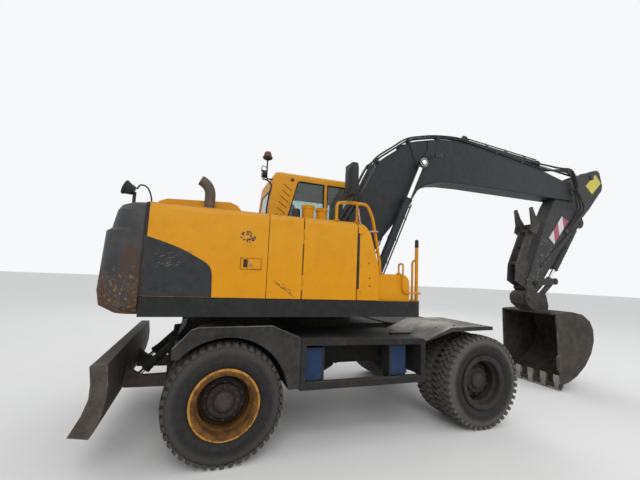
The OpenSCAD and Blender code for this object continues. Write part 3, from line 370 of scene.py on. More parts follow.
def bare(name, base, second, polish=0.0, rough=0.7, metal=0.25, dust=0.35, film=0.12, mud=(0.2, 0.18, 0.155),
         bump=0.5, scale=9.0):
    """Steel without paint: rust in two tones, bright on its edges where it is polished by use."""
    m = Finish(name, Specular_IOR_Level=0.35)
    e = m.use("edges", Amount=polish, Width=0.02, Scale=6.0)
    d = m.use("dust", Amount=dust, Film=film, Height=0.9)
    g = m.use("grain", Scale=scale)
    c = m.mix(m.ramp(g["Value"], 0.38, 0.62), base, second)
    c = m.mix(m.times(g["Scratches"], 0.3), c, (0.3, 0.27, 0.24))
    c = m.mix(e["Edges"], c, (0.42, 0.4, 0.38))
    c = m.mix(d["Dust"], c, mud)
    r = m.less(m.between(d["Dust"], rough, 0.95), m.times(e["Edges"], 0.3))
    shiny = m.times(m.less(1.0, d["Dust"]), metal)
    return m.feed(c, r, shiny, m.add(m.times(g["Fine"], 0.4), g["Value"]), bump, 0.003)


def plastic(name, base, rough=0.55, dust=0.3, film=0.12):
    """Dark plastic or rubber with a fine grain."""
    m = Finish(name, Specular_IOR_Level=0.25)
    d = m.use("dust", Amount=dust, Film=film)
    g = m.use("grain", Scale=60.0)
    c = m.mix(g["Value"], base, tuple(v * 1.5 for v in base))
    c = m.mix(d["Dust"], c, DUST)
    return m.feed(c, m.between(d["Dust"], rough, 0.9), None, g["Fine"], 0.15, 0.0006)


def glass_material(name, tint, rough=0.03):
    """Dusty glass or clear plastic."""
    m = Finish(name, IOR=1.45, Transmission_Weight=0.9)
    d = m.use("dust", Amount=0.1, Film=0.16, Scale=5.0, Height=0.1)
    return m.feed(m.mix(d["Dust"], tint, (0.5, 0.48, 0.44)), m.between(d["Dust"], rough, 0.5))


def floor_material():
    m = Finish("pale_floor", Roughness=0.8)
    return m.feed(m.mix(m.noise(m.place(), 1.5, 5.0), (0.83, 0.825, 0.815), (0.88, 0.875, 0.865)))


def wheel_radius(m):
    """Metres from the nearer axle, for materials that change from the hub to the tread."""
    x, z = (m.part(m.place(), letter) for letter in "XZ")
    rear, front = -ORIGIN_X / 1000, (WHEELBASE - ORIGIN_X) / 1000
    axle = m.between(m.math("GREATER_THAN", x, (rear + front) / 2), rear, front)
    dx, dz = m.less(x, axle), m.less(z, TYRE_R / 1000)
    return m.math("SQRT", m.add(m.times(dx, dx), m.times(dz, dz)))


def tyre_material():
    """Rubber: dark at the bead, dusty and scuffed grey at the shoulder and the tread, most in front."""
    m = Finish("tyre_rubber", Specular_IOR_Level=0.25)
    d = m.use("dust", Amount=0.2, Film=0.3, Scale=3.2, Height=0.5)
    g = m.use("grain", Scale=20.0)
    c = m.mix(m.ramp(g["Value"], 0.35, 0.7), (0.0095, 0.0095, 0.01), (0.02, 0.0195, 0.019))
    r = m.add(wheel_radius(m), m.times(m.noise(m.place(), 6.0), 0.03))
    front = m.math("GREATER_THAN", m.part(m.place(), "X"), -1.5)
    worn = m.times(m.ramp(r, 0.4, 0.47), m.add(0.3, m.times(front, 0.4)))
    c = m.mix(worn, c, (0.13, 0.119, 0.103))
    c = m.mix(m.times(d["Dust"], 0.45), c, (0.095, 0.087, 0.077))
    return m.feed(c, m.between(d["Dust"], 0.68, 0.95), None, g["Fine"], 0.3, 0.001)


def rear_rim_material():
    """A bright worn flange, a rusty yellow-brown dish and a near-black middle, partly dark hub iron and
    partly painted shade round the hub in the deep dish.
    """
    m = Finish("rear_rim_paint", Specular_IOR_Level=0.25)
    e = m.use("edges", Amount=1.0, Patches=1.0, Scale=14.0)
    g = m.use("grain", Scale=12.0)
    place = m.place()
    r = m.add(wheel_radius(m), m.times(m.less(g["Value"], 0.5), 0.03))
    flange, dish = m.ramp(r, 0.276, 0.288), m.ramp(r, 0.19, 0.225)
    broad = m.ramp(m.noise(place, 11.0, 6.0, 0.7), 0.42, 0.62)
    fine = m.ramp(m.noise(place, 16.0, 5.0, 0.7), 0.45, 0.62)
    rusty = m.mix(broad, (0.16, 0.075, 0.012), (0.075, 0.035, 0.014))
    bright = m.mix(fine, (0.5, 0.235, 0.035), (0.22, 0.1, 0.03))
    # Near-black inside the dish: partly the hub's dark iron, partly painted shade round the hub.
    c = m.mix(flange, m.mix(dish, (0.03, 0.023, 0.019), rusty), bright)
    c = m.mix(m.most(e["Edges"], e["Spots"]), c, DARK_RUST)
    return m.feed(c, m.between(flange, 0.85, 0.55), None, g["Fine"], 0.4, 0.0015)


def chrome_material():
    m = Finish("chrome_rod")
    g = m.use("grain", Scale=30.0)
    c = m.mix(m.ramp(g["Value"], 0.4, 0.75), (0.66, 0.67, 0.69), (0.5, 0.5, 0.5))
    return m.feed(c, m.n("MapRange", g["Fine"], 0.2, 0.8, 0.1, 0.26), 1.0)


def fabric_material():
    """A dark woven seat cover: two crossed waves."""
    m = Finish("seat_fabric", Sheen_Weight=0.3)
    place = m.place()
    across, upright = (m.n("TexWave", Vector=place, Scale=150.0, Distortion=0.6, wave_type="BANDS",
                           bands_direction=letter, out="Fac") for letter in "YZ")
    weave = m.times(across, upright)
    d = m.use("dust", Amount=0.25, Film=0.1)
    c = m.mix(weave, (0.018, 0.018, 0.02), (0.05, 0.05, 0.055))
    return m.feed(m.mix(d["Dust"], c, DUST), 0.9, None, weave, 0.4, 0.001)


def house_paint():
    """Yellow paint: richer low on the doors, paler high up, partly from dust and partly a painted reflection
    of the sky, with long scrapes and streaks.
    """
    m = Finish("yellow_paint", Coat_Weight=0.02, Coat_Roughness=0.4, Specular_IOR_Level=0.22)
    e = m.use("edges", Amount=0.5, Patches=0.0, Scale=10.0)
    d = m.use("dust", Amount=0.22, Film=0.0, Height=0.3)
    s = m.use("streaks", Amount=0.22)
    g = m.use("grain", Scale=6.0)
    place = m.place()
    # Paler high up: partly dust, partly a painted reflection of the sky on the upper panels.
    high = m.ramp(m.add(m.part(place, "Z"), m.times(g["Value"], 0.5)), 1.75, 2.35)
    scrape = m.noise(m.stretch(place, (1.2, 1.2, 30.0), (0.02, 0.04, 0.0)), 3.0)
    worn = m.most(e["Edges"], e["Spots"])
    c = m.mix(high, (0.62, 0.258, 0.0005), (0.6, 0.268, 0.009))
    c = m.mix(m.ramp(g["Value"], 0.45, 0.75), c, (0.56, 0.222, 0.001))
    c = m.mix(m.times(m.ramp(scrape, 0.67, 0.7), 0.3), c, (0.2, 0.11, 0.05))
    c = m.mix(s["Streaks"], c, (0.3, 0.15, 0.03))
    c = m.mix(worn, c, DARK_RUST)
    c = m.mix(d["Dust"], c, (0.42, 0.33, 0.2))
    r = m.most(m.between(d["Dust"], 0.46, 0.85), m.times(worn, 0.85))
    return m.feed(c, r, None, m.less(m.times(g["Fine"], 0.15), m.times(worn, 0.7)), 0.2, 0.0012)


def weight_paint():
    """Dark grey of the counterweight with rust that spreads from its lower right corner."""
    m = Finish("counterweight_paint", Specular_IOR_Level=0.28)
    e = m.use("edges", Amount=0.9, Width=0.03, Scale=5.0)
    d = m.use("dust", Amount=0.35, Film=0.05, Height=0.5)
    g = m.use("grain", Scale=5.0)
    place = m.place()
    low = m.ramp(m.part(place, "Z"), 2.0, 1.45)
    right = m.ramp(m.part(place, "Y"), -0.5, -1.0)
    corner = m.times(m.times(low, right), 0.26)
    blot = m.noise(m.stretch(place, (1.0, 1.0, 0.55)), 3.4, 8.0, 0.68)
    rust = m.ramp(m.add(blot, corner), 0.6, 0.76)
    speckle = m.ramp(m.add(m.noise(place, 38.0, 6.0, 0.75), m.times(corner, 0.8)), 0.75, 0.8)
    c = m.mix(m.ramp(g["Value"], 0.35, 0.7), (0.027, 0.0285, 0.031), (0.047, 0.0475, 0.048))
    c = m.mix(rust, c, (0.068, 0.038, 0.025))
    c = m.mix(speckle, c, (0.21, 0.125, 0.055))
    c = m.mix(e["Edges"], c, DARK_RUST)
    c = m.mix(d["Dust"], c, (0.19, 0.17, 0.15))
    r = m.between(m.most(d["Dust"], rust), 0.5, 0.92)
    return m.feed(c, r, None, m.add(m.times(g["Fine"], 0.3), rust), 0.35, 0.002)


def stripes_material():
    """Red and white slanted bars on the blank warning plate of the arm."""
    m = Finish("striped_plate", Roughness=0.45)
    first, pair, slant = 5.9 - ORIGIN_X / 1000, 0.28, 0.136
    x, z = (m.part(m.place(), letter) for letter in "XZ")
    along = m.less(m.add(x, m.times(z, slant)), first)
    band = m.math("FRACT", m.math("DIVIDE", along, pair))
    c = m.mix(m.math("GREATER_THAN", band, 0.5), (0.6, 0.57, 0.58), (0.31, 0.028, 0.07))
    d = m.use("dust", Amount=0.2, Film=0.16)
    return m.feed(m.mix(d["Dust"], c, DUST))


FINISHES = {
    # Upper body
    "yellow": house_paint(),
    "yellow_trim": paint("yellow_trim", (0.6, 0.25, 0.001), (0.54, 0.222, 0.004), dust=0.16, film=0.0,
                         chips=0.9, streaks=0.1),
    "patch": paint("grey_patch", (0.021, 0.0235, 0.025), (0.032, 0.0345, 0.0355), dust=0.1, film=0.0,
                   chips=0.3, patches=0.7, streaks=0.2, rough=0.5, under=(0.3, 0.28, 0.26), edge_scale=18.0),
    "weight": weight_paint(),
    "deck": paint("deck_paint", (0.011, 0.0115, 0.012), (0.02, 0.0205, 0.021), dust=0.3, film=0.03, chips=0.5,
                  patches=0.2, streaks=0.15, rough=0.55, dust_color=(0.13, 0.12, 0.105)),
    "pink": paint("worn_handle_paint", (0.42, 0.25, 0.2), (0.5, 0.36, 0.3), dust=0.2, film=0.2, chips=1.0,
                  patches=0.8, streaks=0.1, edge_scale=40.0),
    "pipe": bare("exhaust_steel", (0.075, 0.055, 0.047), (0.13, 0.085, 0.065), polish=0.2, metal=0.4,
                 film=0.2),
    "engine": bare("engine_iron", (0.05, 0.05, 0.05), (0.09, 0.085, 0.08), metal=0.5, film=0.2),
    # Boom, arm and bucket
    "charcoal": paint("charcoal_paint", (0.018, 0.0205, 0.0225), (0.027, 0.0295, 0.032), dust=0.3, film=0.02,
                      chips=0.4, streaks=0.12, rough=0.5, dust_color=(0.12, 0.11, 0.1), height=0.5),
    "arm": paint("arm_paint", (0.024, 0.026, 0.0275), (0.038, 0.0385, 0.0385), dust=0.4, film=0.1, chips=0.8,
                 streaks=0.2, rough=0.55, dust_color=(0.14, 0.128, 0.113), height=2.6, bump=0.45),
    "plate_yellow": paint("blank_yellow_plate", (0.62, 0.55, 0.06), (0.5, 0.43, 0.08), dust=0.3, film=0.3,
                          chips=0.8, patches=0.8, streaks=0.3, edge_scale=25.0),
    "striped": stripes_material(),
    "bucket": bare("bucket_steel", (0.026, 0.0205, 0.0165), (0.052, 0.041, 0.033), polish=0.4, metal=0.1,
                   dust=0.3, film=0.1, mud=(0.1, 0.086, 0.07), bump=0.7),
    "teeth": bare("tooth_steel", (0.34, 0.31, 0.28), (0.2, 0.17, 0.15), polish=1.0, metal=0.6, rough=0.5,
                  film=0.3, mud=(0.42, 0.38, 0.33)),
    "thumb": bare("thumb_steel", (0.024, 0.022, 0.0205), (0.05, 0.044, 0.039), polish=0.4, metal=0.15,
                  dust=0.3, film=0.1, mud=(0.15, 0.132, 0.112)),
    "linkage": bare("linkage_steel", (0.026, 0.026, 0.026), (0.05, 0.047, 0.044), polish=0.4, metal=0.2,
                    dust=0.4, film=0.15, mud=(0.14, 0.128, 0.113)),
    "chrome": chrome_material(),
    # Undercarriage
    "frame": paint("dusty_frame_paint", (0.012, 0.012, 0.012), (0.024, 0.023, 0.021), dust=0.6, film=0.08,
                   chips=0.5, patches=0.4, streaks=0.3, rough=0.68, dust_color=(0.13, 0.12, 0.106),
                   height=0.4, bump=0.6),
    "fender": paint("fender_paint", (0.015, 0.015, 0.0145), (0.032, 0.03, 0.028), dust=1.0, film=0.045,
                    chips=0.9, patches=0.8, streaks=0.3, rough=0.72, dust_color=(0.52, 0.495, 0.45),
                    height=0.15, bump=0.7, edge_scale=16.0),
    "blue": paint("blue_paint", (0.0025, 0.02, 0.065), (0.004, 0.03, 0.09), dust=0.15, film=0.02, chips=0.8,
                  streaks=0.3),
    "rear_rim": rear_rim_material(),
    "front_rim": paint("front_rim_paint", (0.017, 0.0155, 0.015), (0.036, 0.031, 0.028), dust=0.3, film=0.12,
                       chips=0.5, patches=0.6, streaks=0.4, rough=0.7, dust_color=(0.12, 0.1, 0.085),
                       height=0.3),
    "hub": paint("hub_iron", (0.03, 0.026, 0.026), (0.055, 0.045, 0.042), dust=0.2, film=0.12, chips=0.4,
                 patches=0.4, streaks=0.2, rough=0.6, dust_color=(0.1, 0.085, 0.075)),
    "tyre": tyre_material(),
    "blade": bare("blade_steel", (0.046, 0.036, 0.03), (0.078, 0.061, 0.05), polish=0.4, metal=0.1, dust=0.25,
                  film=0.1, mud=(0.13, 0.108, 0.09)),
    # Small parts, rubber, glass and the seat
    "bolt": bare("bolt_steel", (0.16, 0.14, 0.12), (0.26, 0.23, 0.2), polish=0.5, metal=0.7, rough=0.5,
                 film=0.25, scale=60.0),
    "black": plastic("black_plastic", (0.011, 0.011, 0.012), dust=0.2, film=0.05),
    "hose": plastic("hose_rubber", (0.012, 0.012, 0.013), rough=0.6, dust=0.18, film=0.08),
    "seal": plastic("window_seal", (0.01, 0.01, 0.011), rough=0.6),
    # Near-black with no dust: painted shade for the bottoms of the louvre slots on the cab's pillar.
    "slot_black": plastic("slot_black", (0.004, 0.004, 0.004), rough=0.8, dust=0.0, film=0.0),
    "amber": glass_material("amber_lens", (0.9, 0.16, 0.02), 0.15),
    "lens": glass_material("lamp_lens", (0.85, 0.88, 0.9), 0.08),
    "glass": glass_material("window_glass", (0.42, 0.52, 0.52)),
    "mirror": Finish("mirror_face", Metallic=1.0, Roughness=0.05, Base_Color=(0.8, 0.82, 0.84)).material,
    "fabric": fabric_material(),
}

# The record's material slots and the finishes that belong to each
SLOTS = {
    "black_plastic": "black hose seal slot_black", "charcoal_paint": "charcoal arm weight patch",
    "chrome_rod": "mirror", "dusty_frame_paint": "frame", "rusty_pipe": "pipe", "seat_fabric": "fabric",
    "tyre": "tyre", "wheel_paint": "rear_rim front_rim hub", "window_glass": "amber lens",
    "worn_steel": "bolt linkage teeth bucket", "yellow_paint": "yellow_trim plate_yellow striped pink",
}
SLOT_OF = {finish: slot for slot, finishes in SLOTS.items() for finish in finishes.split()}


# Mesh helpers
def across(axis):
    """A unit vector along an axis and two across it."""
    ax = Vector(axis).normalized()
    u = ax.orthogonal().normalized()
    return ax, u, ax.cross(u)


def circle(centre, u, w, r, n, start=0.0):
    """n points round a centre in metres, with r in mm."""
    return [centre + (u * math.cos(t) + w * math.sin(t)) * (r / 1000) for t in angles(n, start)]


def round_edges(ob, width, segments, angle, harden=False):
    bevel = ob.modifiers.new("rounded_edges", "BEVEL")
    bevel.width = width / 1000
    bevel.segments = segments
    bevel.limit_method = "ANGLE"
    bevel.angle_limit = math.radians(angle)
    bevel.harden_normals = harden


class Piece:
    """A piece under construction: it rides on a body and takes its slot from its finish, or its own."""

    def __init__(self, name, body, finish, slot=None):
        self.name, self.body, self.finish = name, body, finish
        self.slot = slot or SLOT_OF[finish]
        self.v, self.f = [], []

    def add(self, verts, faces):
        n = len(self.v)
        self.v += [tuple(v) for v in verts]
        self.f += [tuple(i + n for i in f) for f in faces]

    def rings(self, rings, closed=False):
        """A skin over rings of points, one after the other."""
        n = len(rings[0])
        verts = [v for r in rings for v in r]
        m = len(rings)
        faces = []
        for i in range(m if closed else m - 1):
            j = (i + 1) % m
            faces += [(i * n + k, j * n + k, j * n + (k + 1) % n, i * n + (k + 1) % n) for k in range(n)]
        if not closed:
            faces += [tuple(range(n)), tuple((m - 1) * n + k for k in reversed(range(n)))]
        self.add(verts, faces)

    def tube(self, pts, r, n=10, smooth=6, closed=False):
        """A round tube through points in mm; smooth > 0 runs a smooth curve through them."""
        path = [mm(*p) for p in pts]
        if smooth:
            path = curve(path, smooth, closed)
        if isinstance(r, (int, float)):
            r = [r] * len(path)
        up = Vector((0.31, 0.17, 0.93))
        rings = []
        m = len(path)
        for i, p in enumerate(path):
            a = path[(i - 1) % m] if closed else path[max(i - 1, 0)]
            b = path[(i + 1) % m] if closed else path[min(i + 1, m - 1)]
            d = (b - a).normalized()
            u = up - d * up.dot(d)
            if u.length < 0.05:
                u = Vector((1, 0, 0)) - d * d.x
            u.normalize()
            up = u
            rings.append(circle(p, u, d.cross(u), r[min(i, len(r) - 1)], n))
        self.rings(rings, closed)

    def lathe(self, profile, at, axis, n=32, closed=False):
        """A turned form about an axis, from a profile of (along, radius) in mm."""
        ax, u, w = across(axis)
        self.rings([circle(mm(*at) + ax * (a / 1000), u, w, max(r, 0.05), n) for a, r in profile], closed)

    def bolt(self, at, axis, r=12, h=10, washer=True):
        """A hexagon head on its washer, turned by chance."""
        if washer:
            self.lathe([(-1, r * 1.45), (2.5, r * 1.45), (3, r * 1.35)], at, axis, 14)
        ax, u, w = across(axis)
        start = rnd.random()
        self.rings([circle(mm(*at) + ax * (a / 1000), u, w, q, 6, start)
                    for a, q in ((0, r), (h * 0.85, r), (h, r * 0.86))])

    def prism(self, outline, y0, y1):
        """A side outline in (x, z) mm from y0 to y1."""
        n = len(outline)
        verts = [mm(x, y, z) for y in (y0, y1) for x, z in outline]
        faces = [tuple(range(n)), tuple(n + k for k in reversed(range(n)))]
        faces += [(k, n + k, n + (k + 1) % n, (k + 1) % n) for k in range(n)]
        self.add(verts, faces)

    def box(self, x0, x1, y0, y1, z0, z1):
        self.prism([(x0, z0), (x1, z0), (x1, z1), (x0, z1)], y0, y1)

    def done(self, bevel=0.0, angle=35, segments=2, replaces=()):
        """Makes the object, with edges rounded by bevel mm and drawn sharp above the angle."""
        me = bpy.data.meshes.new(self.name)
        me.from_pydata(self.v, [], self.f)
        me.validate()
        ob = in_scene(self.name, me)
        me.materials.append(FINISHES[self.finish])
        fix_normals(me)
        if bevel:
            round_edges(ob, bevel, segments, 40)
        for p in me.polygons:
            p.use_smooth = True
        me.set_sharp_from_angle(angle=math.radians(angle))
        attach(ob, self.body)
        if replaces:
            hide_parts(*replaces)
        return ob


def fix_normals(me):
    """Turns every face outwards."""
    b = bmesh.new()
    b.from_mesh(me)
    bmesh.ops.recalc_face_normals(b, faces=b.faces)
    b.to_mesh(me)
    b.free()


def curve(pts, steps, closed=False):
    """Points on a smooth curve through the given ones."""
    m = len(pts)
    if m < 3:
        return list(pts)
    out = []
    for i in range(m if closed else m - 1):
        p1, p2 = pts[i], pts[(i + 1) % m]
        p0 = pts[(i - 1) % m] if closed or i else p1 * 2 - p2
        p3 = pts[(i + 2) % m] if closed or i + 2 < m else p2 * 2 - p1
        for k in range(steps):
            t = k / steps
            out.append(0.5 * (2 * p1 + (p2 - p0) * t + (2 * p0 - 5 * p1 + 4 * p2 - p3) * t * t
                              + (3 * p1 - p0 - 3 * p2 + p3) * t * t * t))
    if not closed:
        out.append(pts[-1])
    return out


# Wheels
def tyre(piece, x, y):
    """One lugged tyre about Y at (x, y): a carcass with raised rings and four rows of tread blocks."""
    h = TYRE_W / 2
    bead = [(h - 34, 254), (h - 21, RIM_R + 10), (h - 17, RIM_R + 16)]
    wall = [(h - 8, RIM_R + 34), (h - 3, RIM_R + 56), (h - 0.5, RIM_R + 60), (h - 0.5, RIM_R + 66),
            (h - 2, RIM_R + 70), (h - 1, RIM_R + 108)]
    shoulder = [(h - 2, TYRE_R - 78), (h - 2, TYRE_R - 72), (h - 7, TYRE_R - 68), (h - 12, TYRE_R - 46),
                (h - 30, TYRE_R - 26), (h - 60, TYRE_R - 20)]
    half = bead + wall + shoulder
    piece.lathe(half + [(-a, r) for a, r in reversed(half)], (x, y, TYRE_R), (0, 1, 0), 120, closed=True)
    rows, taper, lip, rounding = 44, 0.86, h - 20, 9

    def block(t0, t1, edges, r0, lean):
        """A block from angle t0 to t1, across between its edges and standing from r0 to the tread."""
        points = []
        a0, a1 = sorted(edges)
        middle_t, middle_a = (t0 + t1) / 2, (a0 + a1) / 2
        for r, k in ((r0, 1.0), (TYRE_R, taper)):
            for corner_t, corner_a in ((t0, a0), (t1, a0), (t1, a1), (t0, a1)):
                outer = abs(corner_a) >= lip
                t = middle_t + (corner_t - middle_t) * k + lean * (corner_a - middle_a) / 100
                a = middle_a + (corner_a - middle_a) * (1.0 if outer else k)
                q = r - rounding if outer and r == TYRE_R else r
                points.append(mm(x + q * math.sin(t), y + a, TYRE_R + q * math.cos(t)))
        sides = [(0, 4, 5, 1), (1, 5, 6, 2), (2, 6, 7, 3), (3, 7, 4, 0)]
        piece.add(points, [(0, 1, 2, 3), (7, 6, 5, 4)] + sides)

    step = 2 * math.pi / rows
    for k in range(rows):
        for s in SIDES:
            t = k * step + (0 if s > 0 else step / 2)
            block(t, t + step * 0.62, (s * 52, s * (h - 5)), TYRE_R - 40, 0.02 * s)
            block(t + step * 0.3, t + step * 0.94, (s * 5, s * 46), TYRE_R - 26, -0.05 * s)


def rim_rings(name, body, finish, x, y, axis, s):
    """The lock ring at the flange and the lip of the dish."""
    piece = Piece(name, body, finish)
    edge = TYRE_W / 2 - 34
    piece.lathe([(edge + 22, 246), (edge + 24, 252), (edge + 30, 262), (edge + 34, 280), (edge + 34, 292),
                 (edge + 28, 299), (edge + 23, 299), (edge + 20, 292)], (x, y, TYRE_R), axis, 96, closed=True)
    piece.lathe([(-50, 236), (-46, 228), (-30, 222), (-12, 226), (4, 235), (8, 238)], (x, y + s * 60, TYRE_R),
                axis, 72, closed=True)
    piece.done(angle=30)


def wheel_nuts(name, body, x, y, axis, s):
    """Nuts on their studs, the hub's cover with its bolts and plug, and the valve."""
    piece = Piece(name, body, "hub")
    stud_circle, bolt_circle, cover = 163, 121, s * 1162
    for t in angles(10, math.pi / 10):
        at = (x + stud_circle * math.cos(t), y - s * 18, TYRE_R + stud_circle * math.sin(t))
        piece.bolt(at, axis, 15, 26)
        piece.lathe([(20, 8), (36, 8), (38, 6)], at, axis, 10)
    piece.lathe([(-14, 80), (-4, 80), (1, 74), (2, 66), (8, 58), (11, 30), (11, 1)], (x, cover, TYRE_R),
                axis, 40)
    for t in angles(12):
        at = (x + bolt_circle * math.cos(t), s * 1136, TYRE_R + bolt_circle * math.sin(t))
        piece.bolt(at, axis, 9, 9)
    piece.bolt((x + 40, cover, TYRE_R + 30), axis, 9, 14)
    valve = ((205, 10, 105), (212, 52, 108), (205, 84, 105))
    piece.tube([(x + dx, y + s * dy, TYRE_R + dz) for dx, dy, dz in valve], 4, 8)
    piece.done(angle=30)


def wheels():
    for end, x in (("rear", 0), ("front", WHEELBASE)):
        for side, s in zip(("right", "left"), SIDES):
            body = f"{end}_wheel_{side}"
            piece = Piece(f"treaded_tyres_{end}_{side}", body, "tyre")
            for y in (OUTER_Y, INNER_Y):
                tyre(piece, x, s * y)
            piece.done(angle=38, replaces=(f"tyres_{end}_{side}",))
            rim_rings(f"rim_rings_{end}_{side}", body, end + "_rim", x, s * OUTER_Y, (0, s, 0), s)
            wheel_nuts(f"wheel_nuts_{end}_{side}", body, x, s * OUTER_Y, (0, s, 0), s)


# What the CAD nodes wear
NODE_FINISHES = {
    "frame": "chassis_frame blade_brackets side_frames rear_axle front_axle knuckle_right knuckle_left "
             "blade_barrels",
    "fender": "rear_fenders front_fenders", "blue": "tool_boxes",
    "rear_rim": "rims_rear_right rims_rear_left", "front_rim": "rims_front_right rims_front_left",
    "tyre": "tyres_rear_right tyres_rear_left tyres_front_right tyres_front_left",
    "blade": "blade", "bucket": "bucket", "thumb": "thumb",
    "chrome": "blade_rods boom_rods arm_rod bucket_rod",
    "deck": "deck", "weight": "counterweight", "charcoal": "boom boom_barrels arm_barrel",
    "arm": "arm bucket_barrel",
    "linkage": "rocker link",
    "yellow": "house hood door_rear_right door_front_right door_left step_box cab_shell cab_door",
    "yellow_trim": "fillers handrails", "engine": "engine", "pipe": "exhaust", "black": "mirrors lamps",
    "glass": "cab_glass cab_door_glass", "fabric": "cab_seat",
}


# How far edges are rounded, in mm
EDGES = {
    3: "house door_rear_right door_front_right door_left cab_door bucket front_fenders blade_brackets",
    4: "step_box blade boom arm rear_fenders side_frames chassis_frame thumb rocker link tool_boxes",
    5: "cab_shell deck", 10: "hood",
}


def dress_nodes():
    """Gives the CAD nodes their finishes, and rounds the edges of plates and panels by a few mm."""
    for finish, names in NODE_FINISHES.items():
        for name in names.split():
            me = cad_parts[name].data
            me.materials.clear()
            me.materials.append(FINISHES[finish])
    for width, names in EDGES.items():
        for name in names.split():
            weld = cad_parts[name].modifiers.new("joined_edges", "WELD")
            weld.merge_threshold = 0.00002
            round_edges(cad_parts[name], width, 2, 35, harden=True)


# Upper body
def door_latch():
    """A shallow recess with its frame and lock; a black box in its hollow and black strips below and beside
    the frame are painted shade.
    """
    door, x0, x1, z0, z1, rim = "door_rear_right", 51, 237, 1670, 1777, 9
    piece = Piece("door_latches", door, "yellow_trim")
    for a0, a1, b0, b1 in ((x0, x1, z1 - rim, z1), (x0, x1, z0, z0 + rim), (x0, x0 + rim, z0 + rim, z1 - rim),
                           (x1 - rim, x1, z0 + rim, z1 - rim), (x0 + 62, x0 + 70, z0 + 12, z1 - 12)):
        piece.box(a0, a1, SIDE_Y - 5, SIDE_Y + 1, b0, b1)
    piece.done(bevel=2)
    # Painted shade: a black box in the hollow at the left of the recess, and black strips below and beside
    # the frame.
    piece = Piece("latch_painted_shade", door, "black")
    piece.box(75, 112, SIDE_Y - 2, SIDE_Y + 1, 1688, 1759)
    gap = 3
    for a0, a1, b0, b1 in ((x0 - gap, x0, z0 - 2, z1 + gap), (x1, x1 + gap, z0 - 2, z1 + gap),
                           (x0 - gap, x1 + gap, z0 - gap, z0)):
        piece.box(a0, a1, SIDE_Y - 1.5, SIDE_Y + 1, b0, b1)
    piece.done()
    piece = Piece("latch_lock", door, "bolt")
    piece.lathe([(-1, 15), (4, 15), (6, 12), (6, 3)], (142, SIDE_Y, 1712), (0, -1, 0), 20)
    piece.done()


def door_patch():
    """The grey patch low on the rear right door, with the sweep of its upper edge, and its scratches."""
    door = "door_rear_right"
    sweep = [(-716, 1905), (-650, 1886), (-578, 1865), (-520, 1846), (-458, 1823), (-395, 1795), (-335, 1763),
             (-290, 1739), (-250, 1716), (-225, 1697), (-206, 1675), (-193, 1645), (-186, 1607), (-182, 1540),
             (-179, 1470), (-178, 1417)]
    low = sweep[-1][1]
    n = len(sweep)
    piece = Piece("grey_door_patch", door, "patch")
    piece.add([mm(x, SIDE_Y - 1.2, z) for x, z in sweep] + [mm(x, SIDE_Y - 1.2, low) for x, _ in sweep],
              [(i, i + 1, n + i + 1, n + i) for i in range(n - 2)] + [(n - 2, n - 1, 2 * n - 2)])
    piece.done()
    # Black seal at the door's rear edge, and sleeves over the hinges on their own axis
    piece = Piece("door_edge_seal", door, "seal")
    piece.box(-730.3, -715, SIDE_Y - 1.4, SIDE_Y + 1, DOOR_Z0, DOOR_Z1)
    (x0, _, z0), (_, _, z1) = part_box(door)
    for z in (z0 * 1000 + 120, z1 * 1000 - 220):
        piece.lathe([(-36, 0.5), (-36, 5.4), (106, 5.4), (106, 0.5)],
                    (x0 * 1000 + ORIGIN_X + 4.5, SIDE_Y - 2.5, z), (0, 0, 1), 16)
    piece.done()
    piece = Piece("patch_scratches", door, "bolt")
    for k in range(26):
        bow, t, y = 5 * (k % 3), rnd.random(), SIDE_Y - 1.6
        x, z, length = -640 + 300 * t, 1640 + 130 * rnd.random() + 60 * t, 22 + 60 * rnd.random()
        if k > 20:
            x, z, length = -690 + 420 * t, 1450 + 60 * rnd.random(), 5 + 10 * rnd.random()
        width = 0.8 + 1.2 * rnd.random()
        piece.add([mm(x - length / 2, y, z - 0.22 * length), mm(x, y, z + bow),
                   mm(x + length / 2, y, z + 0.12 * length), mm(x, y, z + bow - 2 * width)], [(0, 3, 2, 1)])
    piece.done()


def panel_seals():
    """Black seals in the gaps between panels, at the deck and at the house's rear corners."""
    piece = Piece("panel_seals", "superstructure", "seal")
    for x0, x1, out, z0, z1 in ((290.6, 294.4, 1243, DOOR_Z0, 2150), (629, 635, 1243, DOOR_Z0, 2150),
                                (1203, 1213, 1240, 1506, 2128)):
        piece.box(x0, x1, -out, -1203, z0, z1)
    piece.box(-735, 1440, -1236, -1200, 1408.5, 1413)
    for s in SIDES:
        piece.box(-744, -736, *sorted((s * 1236, s * 1150)), DOOR_Z0, DOOR_Z1)
        piece.box(-736, -731.5, s * 1243 - 5, s * 1243 + 5, 1410, DOOR_Z1)
    piece.box(1207, 1231, SIDE_Y - 1.5, -1240, 1525, 2090)
    piece.done(bevel=1)


